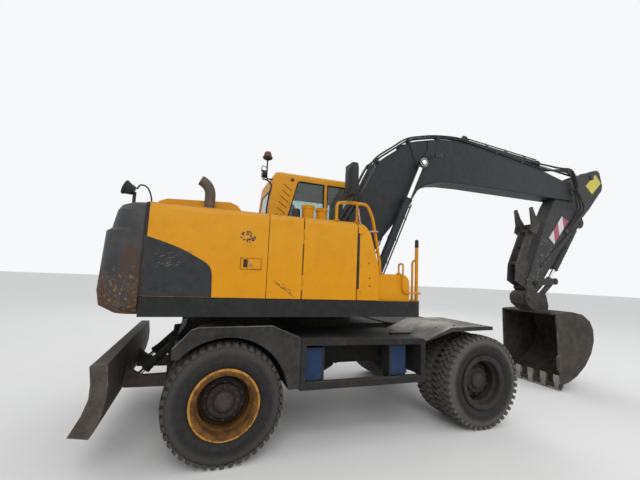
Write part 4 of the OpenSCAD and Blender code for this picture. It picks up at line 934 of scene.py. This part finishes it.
def door_rust():
    """Flakes of rust, a little proud of the paint: a blister on the rear door, scrapes on the front one."""
    piece = Piece("flaked_rust", "door_rear_right", "pipe")
    for k in range(48):
        a, out = rnd.random() * 6.28, 0.35 + 0.65 * rnd.random() ** 0.7
        cx, cz, q = 100 + 66 * out * math.cos(a), 1962 + 52 * out * math.sin(a), 4 + 9 * rnd.random()
        if k > 43:
            cx, cz, q = 70 + 16 * (k - 43), 1880 + 12 * rnd.random(), 4
        piece.add([mm(cx + q * (0.6 + 0.6 * rnd.random()) * math.cos(t), SIDE_Y - 0.8,
                      cz + q * (0.5 + 0.6 * rnd.random()) * math.sin(t)) for t in angles(9)],
                  [tuple(range(9))])
    piece.done()
    piece = Piece("flaked_rust_front", "door_front_right", "pipe")
    flake = ((-1, 0), (-0.3, 1), (0.5, 0.7), (1, 0), (0.4, -1), (-0.5, -0.8))
    for k in range(30):
        t = rnd.random()
        cx, cz = 350 + 190 * t + 34 * rnd.random(), 1570 - 140 * t + 50 * rnd.random() * (k % 2)
        length, width = 9 + 26 * rnd.random() * rnd.random(), 1.2 + 2 * rnd.random()
        lean = -0.85 + 0.4 * rnd.random()
        c, s = math.cos(lean), math.sin(lean)
        piece.add([mm(cx + u * length * c - v * width * s, SIDE_Y - 0.8, cz + u * length * s + v * width * c)
                   for u, v in flake], [tuple(range(6))])
    piece.done()


def body_bolts():
    """Bolts of the roof plate and the front panel."""
    piece = Piece("body_bolts", "superstructure", "yellow_trim", "worn_steel")
    for z in (1480, 1760, 2080):
        piece.bolt((1250, SIDE_Y, z), (0, -1, 0), 8, 6)
    for x, z in ((1340, 1790), (1352, 1640), (1352, 1560)):
        piece.bolt((x, SIDE_Y, z), (0, -1, 0), 7, 6)
    for x in (520, 700, 860, 1040, 1200):
        for y in (-1120, -420):
            piece.bolt((x, y, ROOF_Z), (0, 0, 1), 8, 6)
    for y in (-560, -200, 200, 560):
        piece.bolt((-700, y, ROOF_Z), (0, 0, 1), 9, 7)
    piece.done()


def filler_caps():
    """A small black cap and two large yellow ones with their ribbed rims."""
    piece = Piece("filler_caps", "superstructure", "yellow_trim")
    small = Piece("small_filler", "superstructure", "black")
    y = -1020
    small.lathe([(-1, 46), (99, 44), (110, 38), (112, 2)], (600, y, ROOF_Z), (0, 0, 1), 28)
    small.done(angle=40)
    for x, r, h in ((730, 68, 150), (880, 62, 135)):
        top = ROOF_Z + h
        piece.lathe([(-2, r), (3, r), (8, r - 5), (9, r - 22), (14, r - 26), (15, 2)], (x, y, top),
                    (0, 0, 1), 36)
        for t in angles(20):
            rib = x + (r + 0.5) * math.cos(t), y + (r + 0.5) * math.sin(t)
            piece.tube([(*rib, top - 26), (*rib, top - 2)], 3, 6, 0)
        piece.lathe([(0, r - 10), (0, r + 12), (8, r + 12), (9, r - 8)], (x, y, ROOF_Z - 1), (0, 0, 1), 30)
    piece.done()


def counterweight_details():
    """Tail lamps and lifting eyes."""
    piece = Piece("tail_lamps", "superstructure", "black")
    for s in SIDES:
        piece.box(-1086, -1060, s * 640 - 90, s * 640 + 90, 1640, 1720)
    piece.done(bevel=4)
    piece = Piece("tail_lamp_lenses", "superstructure", "amber")
    for s in SIDES:
        for y0, y1 in ((-80, -6), (6, 80)):
            piece.box(-1091, -1084, s * 640 + y0, s * 640 + y1, 1650, 1710)
    piece.done(bevel=3)
    piece = Piece("lifting_eyes", "superstructure", "weight")
    eye = ((-45, 2196), (-45, 2235), (-20, 2262), (20, 2262), (45, 2235), (45, 2196))
    for s in SIDES:
        piece.tube([(-880, s * 420 + y, z) for y, z in eye], 12, 10, 5)
    piece.done()


def pillar_louvre_shade():
    """Near-black slabs at the bottoms of the slanted louvre grooves on the cab's right rear pillar: painted
    shade in the slots.
    """
    piece = Piece("pillar_louvre_shade", "superstructure", "slot_black")
    slant, half, thick = math.radians(-35), 73, 4
    c, s = math.cos(slant), math.sin(slant)
    for k in range(7):
        x, z = 722 + 18 * k, 2370 + 88 * k
        piece.prism([(x + u * c - w * s, z + u * s + w * c)
                     for u, w in ((-half, -thick), (half, -thick), (half, thick), (-half, thick))],
                    330.5, 333)
    piece.done()


def cab_seals():
    """Rubber round the windows and round the door's window."""
    piece = Piece("window_seals", "superstructure", "seal")
    rear = [(800, 2262), (1393, 2262), (1393, 3008), (1010, 3008), (985, 2985)]
    front = [(1452, 2262), (2024, 2262), (1996, 3008), (1452, 3008)]
    for outline in (rear, front):
        piece.tube([(x, 322, z) for x, z in outline], 12, 8, 0, closed=True)
    left = [(722, 2333), (927, 2333), (927, 2957), (722, 2957)]
    piece.tube([(x, 1231, z) for x, z in left], 8, 8, 0, closed=True)
    piece.done()
    piece = Piece("door_seals", "cab_door", "seal")
    door = [(1087, 2083), (1853, 2083), (1853, 2937), (1087, 2937)]
    piece.tube([(x, 1232, z) for x, z in door], 9, 8, 0, closed=True)
    piece.tube([(1350, 1233, 2062), (1590, 1233, 2062)], 6, 8, 0)
    piece.done()


def cab_outside():
    """The cab door's handle, the windscreen's wiper, the roof hatch and the roof's bolts."""
    body = "superstructure"
    piece = Piece("cab_door_handle", "cab_door", "black")
    piece.prism([(1760, 1900), (1880, 1900), (1880, 1985), (1760, 1985)], 1232, 1238)
    piece.tube([(1775, 1238, 1942), (1785, 1262, 1945), (1860, 1262, 1945), (1868, 1238, 1942)], 8, 8)
    piece.done(bevel=3)
    piece = Piece("wiper", body, "black")
    piece.tube([(2146, 560, 1960), (2156, 600, 2150), (2150, 640, 2420)], 7, 8)
    piece.tube([(2152, 560, 2080), (2150, 650, 2440), (2128, 720, 2720)], 5, 8)
    piece.lathe([(0, 22), (14, 22), (18, 16), (18, 2)], (2140, 560, 1960), (1, 0, 0.05), 20)
    piece.done()
    cab_roof_z = 3124
    piece = Piece("roof_hatch", body, "yellow_trim")
    piece.box(1050, 1560, 560, 1000, cab_roof_z, cab_roof_z + 14)
    piece.done(bevel=8, segments=3)
    piece = Piece("cab_fittings", body, "black")
    for x, y in ((780, 420), (1900, 420), (780, 1140), (1900, 1140)):
        piece.lathe([(-2, 14), (10, 14), (14, 10), (14, 2)], (x, y, cab_roof_z), (0, 0, 1), 16)
    piece.lathe([(-1, 24), (6, 24), (10, 18), (10, 2)], (898, 320, 3018), (0, -1, 0), 24)
    piece.done()


def cab_inside():
    """Levers, armrests, a monitor, pedals, a floor mat and the seat's sewn rolls."""
    piece = Piece("cab_controls", "superstructure", "black")
    knob = [9, 9, 9, 10, 12, 14, 17, 20, 22, 22, 21, 18, 14]
    for y in (480, 1100):
        piece.tube([(1560, y, 2128), (1565, y, 2230), (1548, y, 2300)], knob, 10, 6)
        piece.tube([(1200, y, 2150), (1300, y, 2172), (1480, y, 2172)], 32, 10, 4)
    piece.box(1880, 1925, 420, 560, 2080, 2240)
    for y in (700, 880):
        piece.prism([(1800, 1480), (1905, 1560), (1912, 1550), (1812, 1470)], y - 45, y + 45)
    piece.box(1020, 1980, 500, 1080, 1454, 1462)
    piece.done(bevel=4)
    piece = Piece("seat_cushions", "superstructure", "fabric")
    for k in range(5):
        x = 1075 + 105 * k
        roll = [(x, 570, 1998), (x, 600, 2010), (x, 790, 2014), (x, 980, 2010), (x, 1010, 1998)]
        piece.tube(roll, 44, 12, 5)
    for k in range(5):
        x, z = 1112 - 19 * k, 2075 + 105 * k
        roll = [(x, 575, z), (x + 14, 600, z), (x + 10, 790, z), (x + 14, 980, z), (x, 1005, z)]
        piece.tube(roll, 46, 12, 5)
    piece.tube([(975, 670, 2675), (985, 690, 2675), (985, 890, 2675), (975, 910, 2675)], 66, 14, 5)
    piece.done()


def mirrors():
    """Two mirrors with rounded housings."""
    housing = Piece("mirror_housings", "superstructure", "black")
    glass = Piece("mirror_glass", "superstructure", "mirror")

    def rounded(x, y, z, half_y, half_z):
        """A ring of 32 points between an ellipse and its box."""
        return [mm(x, y + half_y * math.copysign(abs(math.cos(t)) ** 0.45, math.cos(t)),
                   z + half_z * math.copysign(abs(math.sin(t)) ** 0.45, math.sin(t))) for t in angles(32)]
    layers = ((36, 0.98, 0.98), (31, 1.0, 1.0), (0, 1.0, 1.0), (-24, 0.8, 0.88), (-44, 0.6, 0.72),
              (-52, 0.3, 0.4))
    for x, y, z in ((1090, -1290, 2620), (2190, 1290, 2650)):
        housing.rings([rounded(x + dx, y, z, 96 * ky, 172 * kz) for dx, ky, kz in layers])
        glass.rings([rounded(x + dx, y, z, 84, 158) for dx in (36.5, 38)])
    housing.done(angle=45)
    glass.done()


def lamps():
    """Bezels and lenses of the lamps, the beacon with its amber dome, and their cables."""
    piece = Piece("lamp_bezels", "superstructure", "black")
    lens = Piece("lamp_lenses", "superstructure", "lens")
    dome = Piece("beacon_dome", "superstructure", "amber")
    beacon, up = (530, 380, 3325), (0, 0, 1)
    piece.lathe([(-52, 16), (-46, 34), (-30, 66), (-4, 72), (4, 60)], beacon, up, 36)
    dome.lathe([(2, 57), (32, 56), (58, 50), (72, 36), (80, 14), (82, 1)], beacon, up, 36)
    for at in ((2090, 430, 3065), (2090, 1110, 3065)):
        piece.lathe([(48, 44), (64, 47), (68, 45), (66, 40), (56, 40)], at, (1, 0, 0), 32)
        lens.lathe([(56, 40), (63, 39), (66, 30), (68, 2)], at, (1, 0, 0), 32)
    cab_rear = (468, 380, 3065)
    piece.lathe([(2, 57), (-8, 59), (-10, 54), (-6, 50)], cab_rear, (1, 0, 0), 32)
    lens.lathe([(-3, 50), (-8, 46), (-11, 20), (-11, 2)], cab_rear, (1, 0, 0), 32)
    tilt = math.radians(-70)
    axis = (math.sin(tilt), 0, math.cos(tilt))
    tail = (-880 + 80 * axis[0], -1030, 2311 + 80 * axis[2])
    piece.lathe([(-14, 62), (-2, 65), (3, 62), (0, 56)], tail, axis, 32)
    lens.lathe([(-4, 56), (1, 50), (3, 20), (3, 2)], tail, axis, 32)
    piece.tube([(-862, -1030, 2330), (-830, -1030, 2372), (-775, -1025, 2352), (-742, -1010, 2270),
                (-738, -1000, 2200)], 7, 8)
    piece.tube([(520, 380, 3165), (470, 372, 3180), (452, 376, 3130), (462, 380, 3090)], 6, 8)
    piece.tube([(468, 380, 2992), (540, 366, 2975), (600, 352, 2905), (580, 350, 2790), (563, 350, 2680),
                (553, 350, 2560), (549, 350, 2420), (556, 352, 2300), (562, 352, 2207)], 12, 8)
    piece.done(angle=40)
    lens.done(angle=40)
    dome.done(angle=40)


def handrail_trim():
    """Feet of the handrails, the cap of the front post and the worn loop inside the rail."""
    piece = Piece("rail_collars", "superstructure", "yellow_trim")
    for at in ((985, -1185, ROOF_Z + 1), (1215, -1185, ROOF_Z + 1), (1500, -1185, STEP_Z),
               (1998, -1139, 1409), (1942, -1139, 1409), (1766, -1139, STEP_Z)):
        piece.lathe([(0, 34), (6, 34), (9, 22), (20, 20)], at, (0, 0, 1), 20)
    piece.done()
    piece = Piece("post_cap", "superstructure", "black")
    piece.lathe([(0, 21), (70, 21), (84, 18), (90, 8), (90, 1)], (1998, -1139, 2003), (0, 0, 1), 20)
    piece.done()
    piece = Piece("hand_loop", "superstructure", "pink")
    piece.tube([(1211, -1222, 2351), (1223, -1222, 2282), (1240, -1222, 2203), (1297, -1226, 2129),
                (1350, -1226, 2121), (1416, -1222, 2130), (1462, -1200, 2130)], 9, 10)
    piece.done()


# Boom, arm and bucket
def offset_line(line, d):
    """A line of (x, z) points moved to its left by d."""
    out = []
    for i, (x, z) in enumerate(line):
        a, b = line[max(i - 1, 0)], line[min(i + 1, len(line) - 1)]
        dx, dz = b[0] - a[0], b[1] - a[1]
        length = math.hypot(dx, dz)
        out.append((x - dz / length * d, z + dx / length * d))
    return out


# Places across of the boom's tubes: four lie on it, and the raised one lies on two of them
LYING = (-148, -112, 112, 148)
RAISED = -130


def boom_tubes():
    """Steel tubes along the boom's back and their clamps."""
    piece = Piece("boom_tubes", "boom", "charcoal")
    for y, d, points in ((-148, 34, BOOM_TOP), (-112, 34, BOOM_TOP), (RAISED, 68, BOOM_TOP[1:11]),
                         (112, 34, BOOM_TOP), (148, 34, BOOM_TOP)):
        piece.tube([(x, y, z) for x, z in offset_line(points, d)], 13, 10, 4)
    bolts = Piece("boom_clamps", "boom", "bolt")
    height, half, thick = 52, 22, 50
    for i in (0, 2, 4, 6, 9, 10):
        (x, z), (x1, z1) = BOOM_TOP[i], offset_line(BOOM_TOP, height)[i]
        ux, uz = (x1 - x) / height, (z1 - z) / height
        clamp = [(x + a * half * uz + b * thick * ux, z - a * half * ux + b * thick * uz)
                 for a, b in ((-1, 0), (1, 0), (1, 1), (-1, 1))]
        for s in SIDES:
            piece.prism(clamp, s * 130 - 34, s * 130 + 34)
            bolts.bolt((x1, s * 130, z1), (ux, 0, uz), 8, 8)
    piece.done(angle=40)
    bolts.done()


def boom_hoses():
    """Hoses at both ends of the tubes, and the thin ones at the boom cylinders' pins."""
    hose = Piece("boom_hoses", "boom", "hose")
    lying, raised = offset_line(BOOM_TOP, 34), offset_line(BOOM_TOP, 68)
    # At the foot they hang in loops behind the boom and come back to a block above its pin
    for y, k in ((-148, 0), (-112, 1), (RAISED, 2), (112, 1), (148, 0)):
        x, z = raised[1] if y == RAISED else lying[0]
        hose.tube([(x, y, z), (x - 70, y, z - 140), (1470 - 40 * k, y, 2280), (1385 - 30 * k, y * 0.9, 2080),
                   (1372, y * 0.8, 1950)], 17, 12)
    # At the far end they leave the tubes, arch over and come down beside the tip's pin
    for y, up, out in ((-148, 60, 205), (-112, 95, 232), (RAISED, 130, 258), (112, 95, 232), (148, 60, 205)):
        s = -1 if y < 0 else 1
        x, z = raised[-2] if y == RAISED else lying[-1]
        hose.tube([(x, y, z), (x + 160, y, z + 6), (5820, s * (abs(y) + 25), 3690 + up),
                   (6010, s * out, 3700 + up * 0.6), (6140, s * out, 3600), (6165, s * out, 3480),
                   (6150, s * out, 3400)], 16, 12)
    for s in SIDES:
        for route in (((2560, 3690), (2620, 3560), (2660, 3450), (2730, 3420)),
                      ((2900, 3800), (2890, 3640), (2810, 3520), (2760, 3430)),
                      ((2790, 3440), (2900, 3470), (2990, 3560), (3080, 3600))):
            hose.tube([(x, s * (166 + 8 * (i % 2)), z) for i, (x, z) in enumerate(route)], 8, 8)
    hose.done(angle=60)


def boom_fittings():
    """Unions of the tubes, a block on each side of the boom's bend, and the caps of the pins."""
    fit = Piece("hose_fittings", "boom", "linkage")
    line = offset_line(BOOM_TOP, 34)
    for y in LYING:
        x, z = line[-1]
        fit.tube([(x - 26, y, z + 3), (x + 22, y, z - 1)], 20, 6, 0)
        x, z = line[0]
        fit.tube([(x + 10, y, z + 22), (x - 12, y, z - 24)], 20, 6, 0)
    x, z = BOOM_TIP
    for s in SIDES:
        fit.box(3050, 3170, s * 160 - 12, s * 160 + 12, 3570, 3620)
        fit.lathe([(0, 60), (8, 60), (12, 52), (12, 2)], (2740, s * 172, 3390), (0, s, 0), 28)
        fit.lathe([(0, 50), (10, 50), (16, 42), (16, 2)], (x, s * 176, z), (0, s, 0), 28)
        for t in angles(4, math.pi / 4):
            fit.bolt((x + 30 * math.cos(t), s * 192, z + 30 * math.sin(t)), (0, s, 0), 7, 6)
    fit.done(angle=40)


def boom_welds():
    """Weld beads where the boom's plates meet."""
    weld = Piece("boom_welds", "boom", "charcoal")
    under = [(1930, 1980), (2560, 2740), (2716, 2985), (2860, 3081), (3101, 3161), (3292, 3188), (3690, 3205),
             (5400, 3225)]
    for line in (offset_line(BOOM_TOP, -14), offset_line(under, 14)):
        for s in SIDES:
            weld.tube([(x, s * 160.5, z) for x, z in line], 5, 6, 4)
    weld.tube([(2078, -160.5, 2837), (2314, -160.5, 2688)], 2, 6, 0)
    weld.done(angle=60)


def cylinder_lines():
    """Steel tubes and clamps along the cylinders' barrels, and gland bolts at their heads."""
    for cyl in CYLINDERS:
        (ax, az), (bx, bz), r = cyl.foot, cyl.head, cyl.radius
        span = math.dist(cyl.foot, cyl.head)
        dx, dz = (bx - ax) / span, (bz - az) / span
        nx, nz = -dz * cyl.tube_side, dx * cyl.tube_side
        piece = Piece(cyl.barrel + "_tubes", cyl.barrel, cyl.finish)
        bolts = Piece(cyl.barrel + "_bolts", cyl.barrel, "bolt")

        def at(along, off, y):
            return (ax + dx * along + nx * off, y, az + dz * along + nz * off)
        for y in cyl.across:
            # The blade's short cylinders have no tube
            if cyl.barrel != "blade_barrels":
                last = cyl.length - 95
                piece.tube([at(150, r - 6, y), at(150, r + 26, y), at(175, r + 30, y),
                            at(last - 35, r + 30, y), at(last, r + 26, y), at(last, r - 6, y)], 10, 10, 3)
                for share in (0.3, 0.55, 0.8):
                    along = share * cyl.length
                    piece.lathe([(-14, r + 3), (-14, r + 6), (14, r + 6), (14, r + 3)], at(along, 0, y),
                                (dx, 0, dz), 40, closed=True)
                    bolts.bolt(at(along, r + 42, y), (nx, 0, nz), 7, 7)
            piece.lathe([(-8, r + 6), (-8, r + 12), (10, r + 12), (12, r + 8)], at(cyl.length - 8, 0, y),
                        (dx, 0, dz), 48)
            bolt_circle = (r + 40) / 2
            for t in angles(8):
                place = at(cyl.length + 3, bolt_circle * math.cos(t), y + bolt_circle * math.sin(t))
                bolts.bolt(place, (dx, 0, dz), 6, 8, washer=False)
        piece.done(angle=40)
        bolts.done()


def rod_ends():
    """Dark cast eyes and necks where the cylinders' polished rods end at their pins."""
    for cyl in CYLINDERS:
        (ax, az), (bx, bz) = cyl.foot, cyl.head
        span = math.dist(cyl.foot, cyl.head)
        back = ((ax - bx) / span, 0, (az - bz) / span)
        piece = Piece(cyl.rod + "_eyes", cyl.rod, "linkage")
        half, r, eye, rod = cyl.eye_w / 2 + 0.12, cyl.eye_r + 0.8, cyl.eye_r, cyl.rod_r
        ring = [(-half, eye * 0.6), (-half, r - 5), (4 - half, r), (half - 4, r), (half, r - 5),
                (half, eye * 0.6)]
        neck = [(eye * 0.9, rod + 0.3), (eye * 0.9, rod * 1.32), (eye * 1.3, rod * 1.28),
                (eye * 1.5, rod + 3), (eye * 1.5, rod + 0.3)]
        for y in cyl.across:
            piece.lathe(ring, (bx, y, bz), (0, 1, 0), 40, closed=True)
            piece.lathe(neck, (bx, y, bz), back, 32, closed=True)
        piece.done(angle=40)


def arm_hoses():
    """Hoses that come over from the boom's tip to the arm's tubes, and the tubes down both sides."""
    hose = Piece("arm_hoses", "arm", "hose")
    routes = [(-1, 0, 205, 60), (-1, 1, 232, 120), (-1, 2, 258, 180), (1, 0, 205, 60), (1, 1, 232, 120)]
    for s, k, out, f in routes:
        hose.tube([(BOOM_TIP[0], s * out, BOOM_TIP[1]), arm_at(60, f * 0.6 + 40, s * out),
                   arm_at(170, f + 150, s * (out - 25)), arm_at(290, 300 + 42 * k, s * 152),
                   arm_at(430, 300 + 34 * k, s * 136), arm_at(560, 275 + 30 * k, s * 134),
                   arm_at(700, 240 + 28 * k, s * 133)], 15, 12)
    down = ((560, 420, 128), (700, 330, 132), (900, 260, 132), (1200, 160, 130), (1500, 60, 128),
            (1650, 20, 124))
    for s in SIDES:
        hose.tube([arm_at(a, f, s * y) for a, f, y in down], 11, 10)
    hose.done(angle=60)


def arm_fittings():
    """Unions and clamps of the arm's hoses, and the caps of its pins."""
    piece = Piece("arm_fittings", "arm", "linkage")
    for s in SIDES:
        for f in (242, 270, 298):
            piece.tube([arm_at(690, f, s * 133), arm_at(750, f - 18, s * 131)], 18, 6, 0)
        piece.lathe([(0, 50), (8, 50), (12, 42), (12, 2)], arm_at(-660, 360, s * 130), (0, s, 0), 24)
        piece.lathe([(0, 46), (8, 46), (12, 38), (12, 2)], arm_at(300, 560, s * 85), (0, s, 0), 24)
        piece.lathe([(0, 32), (10, 32), (14, 26), (14, 2)], arm_at(ARM_LENGTH - 330, 50, s * 168),
                    (0, s, 0), 24)
        for a, f in ((430, 275), (600, 245)):
            clamp = arm_outline((a - 16, f), (a + 16, f), (a + 16, f + 120), (a - 16, f + 120))
            piece.prism(clamp, s * 118, s * 123)
            piece.bolt(arm_at(a, f + 112, s * 123), (0, s, 0), 8, 7)
    piece.done(angle=40)


def arm_plates():
    """The blank yellow plate on the arm's head and the striped plate below it."""
    for name, finish, corners in (
            ("yellow_plate", "plate_yellow", ((-400, 300), (-790, 430), (-730, 640), (-365, 530))),
            ("striped_plate", "striped", ((1076, -51), (526, 39), (509, 223), (1104, 113)))):
        piece = Piece(name, "arm", finish)
        piece.prism(arm_outline(*corners), -123, -118.3)
        piece.done(bevel=1)


def arm_mud():
    """Mud that has dried on the arm's lower sides."""
    piece = Piece("arm_mud", "arm", "linkage", "charcoal_paint")
    face = 118
    for s in SIDES:
        for k in range(60):
            along = 1150 + 950 * rnd.random()
            forward = -150 + 290 * rnd.random() * (1.1 - (along - 1150) / 1900)
            size = 14 + 34 * rnd.random()
            x, _, z = arm_at(along, forward)
            rings = []
            for proud, share in ((0.0, 1.0), (2.2 + 3 * rnd.random(), 0.55)):
                q = size * share
                rings.append([mm(x + q * (0.7 + 0.5 * math.sin(3 * t + k)) * math.cos(t), s * (face + proud),
                                 z + q * (0.7 + 0.4 * math.cos(2 * t + k)) * math.sin(t))
                              for t in angles(12)])
            piece.rings(rings)
    piece.done(angle=60)


def pin_caps():
    """Caps on the pins of the rocker, the bucket and the coupler."""
    for body, (x, z), out in (("rocker", ROCKER_PIN, 153), ("bucket", BUCKET_PIN, 168),
                              ("bucket", COUPLER_PIN, 168)):
        piece = Piece(f"pin_caps_{body}{x}", body, "linkage")
        for s in SIDES:
            piece.lathe([(0, 30), (10, 30), (14, 24), (14, 2)], (x, s * out, z), (0, s, 0), 24)
            piece.bolt((x + 12, s * (out + 14), z), (0, s, 0), 6, 6)
        piece.done(angle=40)


def bucket_details():
    """Teeth on their shanks, wear strips, cutting edges at the sides, and welds."""
    piece = Piece("bucket_teeth", "bucket", "teeth")
    tooth = [(5158, 165), (5156, 60), (5176, 17), (5194, 17), (5236, 62), (5246, 118), (5204, 128)]
    shank = [(5152, 250), (5150, 120), (5178, 112), (5204, 122), (5215, 210)]
    for i in range(5):
        y = (i - 2) * 222.5
        piece.prism(tooth, y - 34, y + 34)
        piece.prism(shank, y - 46, y + 46)
    piece.done(bevel=7, segments=2)
    shell = [(5930, 1080), (6005, 930), (6010, 760), (5930, 560), (5770, 370), (5560, 220), (5350, 130)]
    piece = Piece("bucket_strips", "bucket", "bucket")
    for y0, y1 in ((-500, -440), (-30, 30), (440, 500)):
        piece.prism(offset_line(shell, -4) + offset_line(shell, 9)[::-1], y0, y1)
    side_edge = [(5128, 1195), (5150, 140), (5180, 120), (5200, 160), (5170, 1190)]
    side_cutter = [(5150, 560), (5105, 520), (5120, 330), (5165, 300), (5190, 420)]
    for s in SIDES:
        piece.prism(side_edge, s * 500 - 7, s * 500 + (12 if s > 0 else 0))
        piece.prism(side_cutter, s * 494 - 12, s * 494 + 12)
    piece.done(bevel=4)
    weld = Piece("bucket_welds", "bucket", "bucket")
    rim = [(5230, 1215), (5500, 1232), (5760, 1190)] + shell + [(5200, 95)]
    for s in SIDES:
        weld.tube([(x, s * 478, z) for x, z in offset_line(rim, -26)], 9, 8, 4)
        weld.tube([(4945, s * 157, 1330), (5150, s * 157, 1216), (5420, s * 157, 1226)], 8, 8, 3)
    weld.done(angle=60)


# Undercarriage
def drive_line():
    """Shafts with their flanges, the gearbox, and a brake chamber on each side of both axles."""
    piece = Piece("drive_line", "chassis", "frame")
    piece.tube([(330, 0, 560), (1050, 0, 560)], 42, 20, 0)
    piece.tube([(1500, 0, 560), (2580, 0, 545)], 42, 20, 0)
    for x in (330, 1050, 1500, 2580):
        piece.lathe([(-50, 70), (-34, 74), (-20, 60), (20, 60), (34, 74), (50, 70)], (x, 0, 558),
                    (1, 0, 0), 24)
    gearbox = [(0, 150), (40, 185), (200, 190), (300, 170), (400, 120), (420, 60)]
    piece.lathe(gearbox, (1070, 0, 575), (1, 0, 0), 28)
    chamber = [(0, 55), (10, 72), (90, 76), (110, 60), (130, 20)]
    for x in (0, WHEELBASE):
        for s in SIDES:
            piece.lathe(chamber, (x - 170, s * 330, 640), (-1, 0, 0.1), 24)
    piece.done(angle=35)


def chassis_hoses():
    """Brake and blade hoses at the axles and four lines along the frame."""
    hose = Piece("chassis_hoses", "chassis", "hose")
    routes = (((150, 310, 750), (60, 380, 720), (-40, 440, 690), (-60, 470, 600)),
              ((-440, 250, 860), (-500, 290, 900), (-520, 340, 880), (-500, 372, 860)),
              ((2650, 310, 760), (2720, 380, 720), (2780, 470, 640), (2800, 520, 560)))
    for s in SIDES:
        for route in routes:
            hose.tube([(x, s * y, z) for x, y, z in route], 9, 8)
    for k in range(4):
        hose.tube([(700, -120 + 80 * k, 700), (1100, -140 + 85 * k, 690), (1900, -120 + 80 * k, 700),
                   (2500, -110 + 75 * k, 760)], 11, 8)
    hose.done(angle=60)


def chassis_bolts():
    """Bolts of the side frames and the fenders, and of the ring that the upper body turns on."""
    bolts = Piece("chassis_bolts", "chassis", "frame", "worn_steel")
    frame_bolts = ((700, 1015), (1000, 1012), (1350, 1008), (1700, 1003), (1990, 1000), (690, 610),
                   (1990, 605), (1350, 608))
    fender_bolts = ((-350, 1060), (-200, 1130), (180, 1135), (470, 1110), (600, 1000), (620, 800), (620, 660))
    for s in SIDES:
        for x, z in frame_bolts:
            bolts.bolt((x, s * 1240, z), (0, s, 0), 10, 8)
        for x, z in fender_bolts:
            bolts.bolt((x, s * 1240, z), (0, s, 0), 8, 7)
        for x, z in ((2250, 1118), (2500, 1138), (2900, 1138)):
            bolts.bolt((x, s * 1160, z), (0, 0, 1), 9, 7)
    ring_x, ring_r = 1150, 520
    for t in angles(36):
        bolts.bolt((ring_x + ring_r * math.cos(t), ring_r * math.sin(t), 1149), (0, 0, 1), 11, 10)
    bolts.done()


def step_grips():
    """Grip bars on the steps, low and high, along both sides."""
    piece = Piece("step_grips", "chassis", "frame")
    for s in SIDES:
        for k in range(34):
            x = 720 + 38 * k
            piece.prism([(x, 610), (x + 16, 610), (x + 14, 617), (x + 2, 617)], s * 1175 - 48, s * 1175 + 48)
            piece.prism([(x, 1010), (x + 10, 1010), (x + 5, 1022)], s * 1200 - 30, s * 1200 + 30)
    piece.done()


# Build. The order stays, because bolts, scratches and mud draw from the same random numbers.
camera()
studio()
dress_nodes()
wheels()
door_latch()
door_patch()
panel_seals()
door_rust()
body_bolts()
filler_caps()
counterweight_details()
pillar_louvre_shade()
cab_seals()
cab_outside()
cab_inside()
mirrors()
lamps()
handrail_trim()
boom_tubes()
boom_hoses()
boom_fittings()
boom_welds()
cylinder_lines()
rod_ends()
arm_hoses()
arm_fittings()
arm_plates()
arm_mud()
pin_caps()
bucket_details()
drive_line()
chassis_hoses()
chassis_bolts()
step_grips()
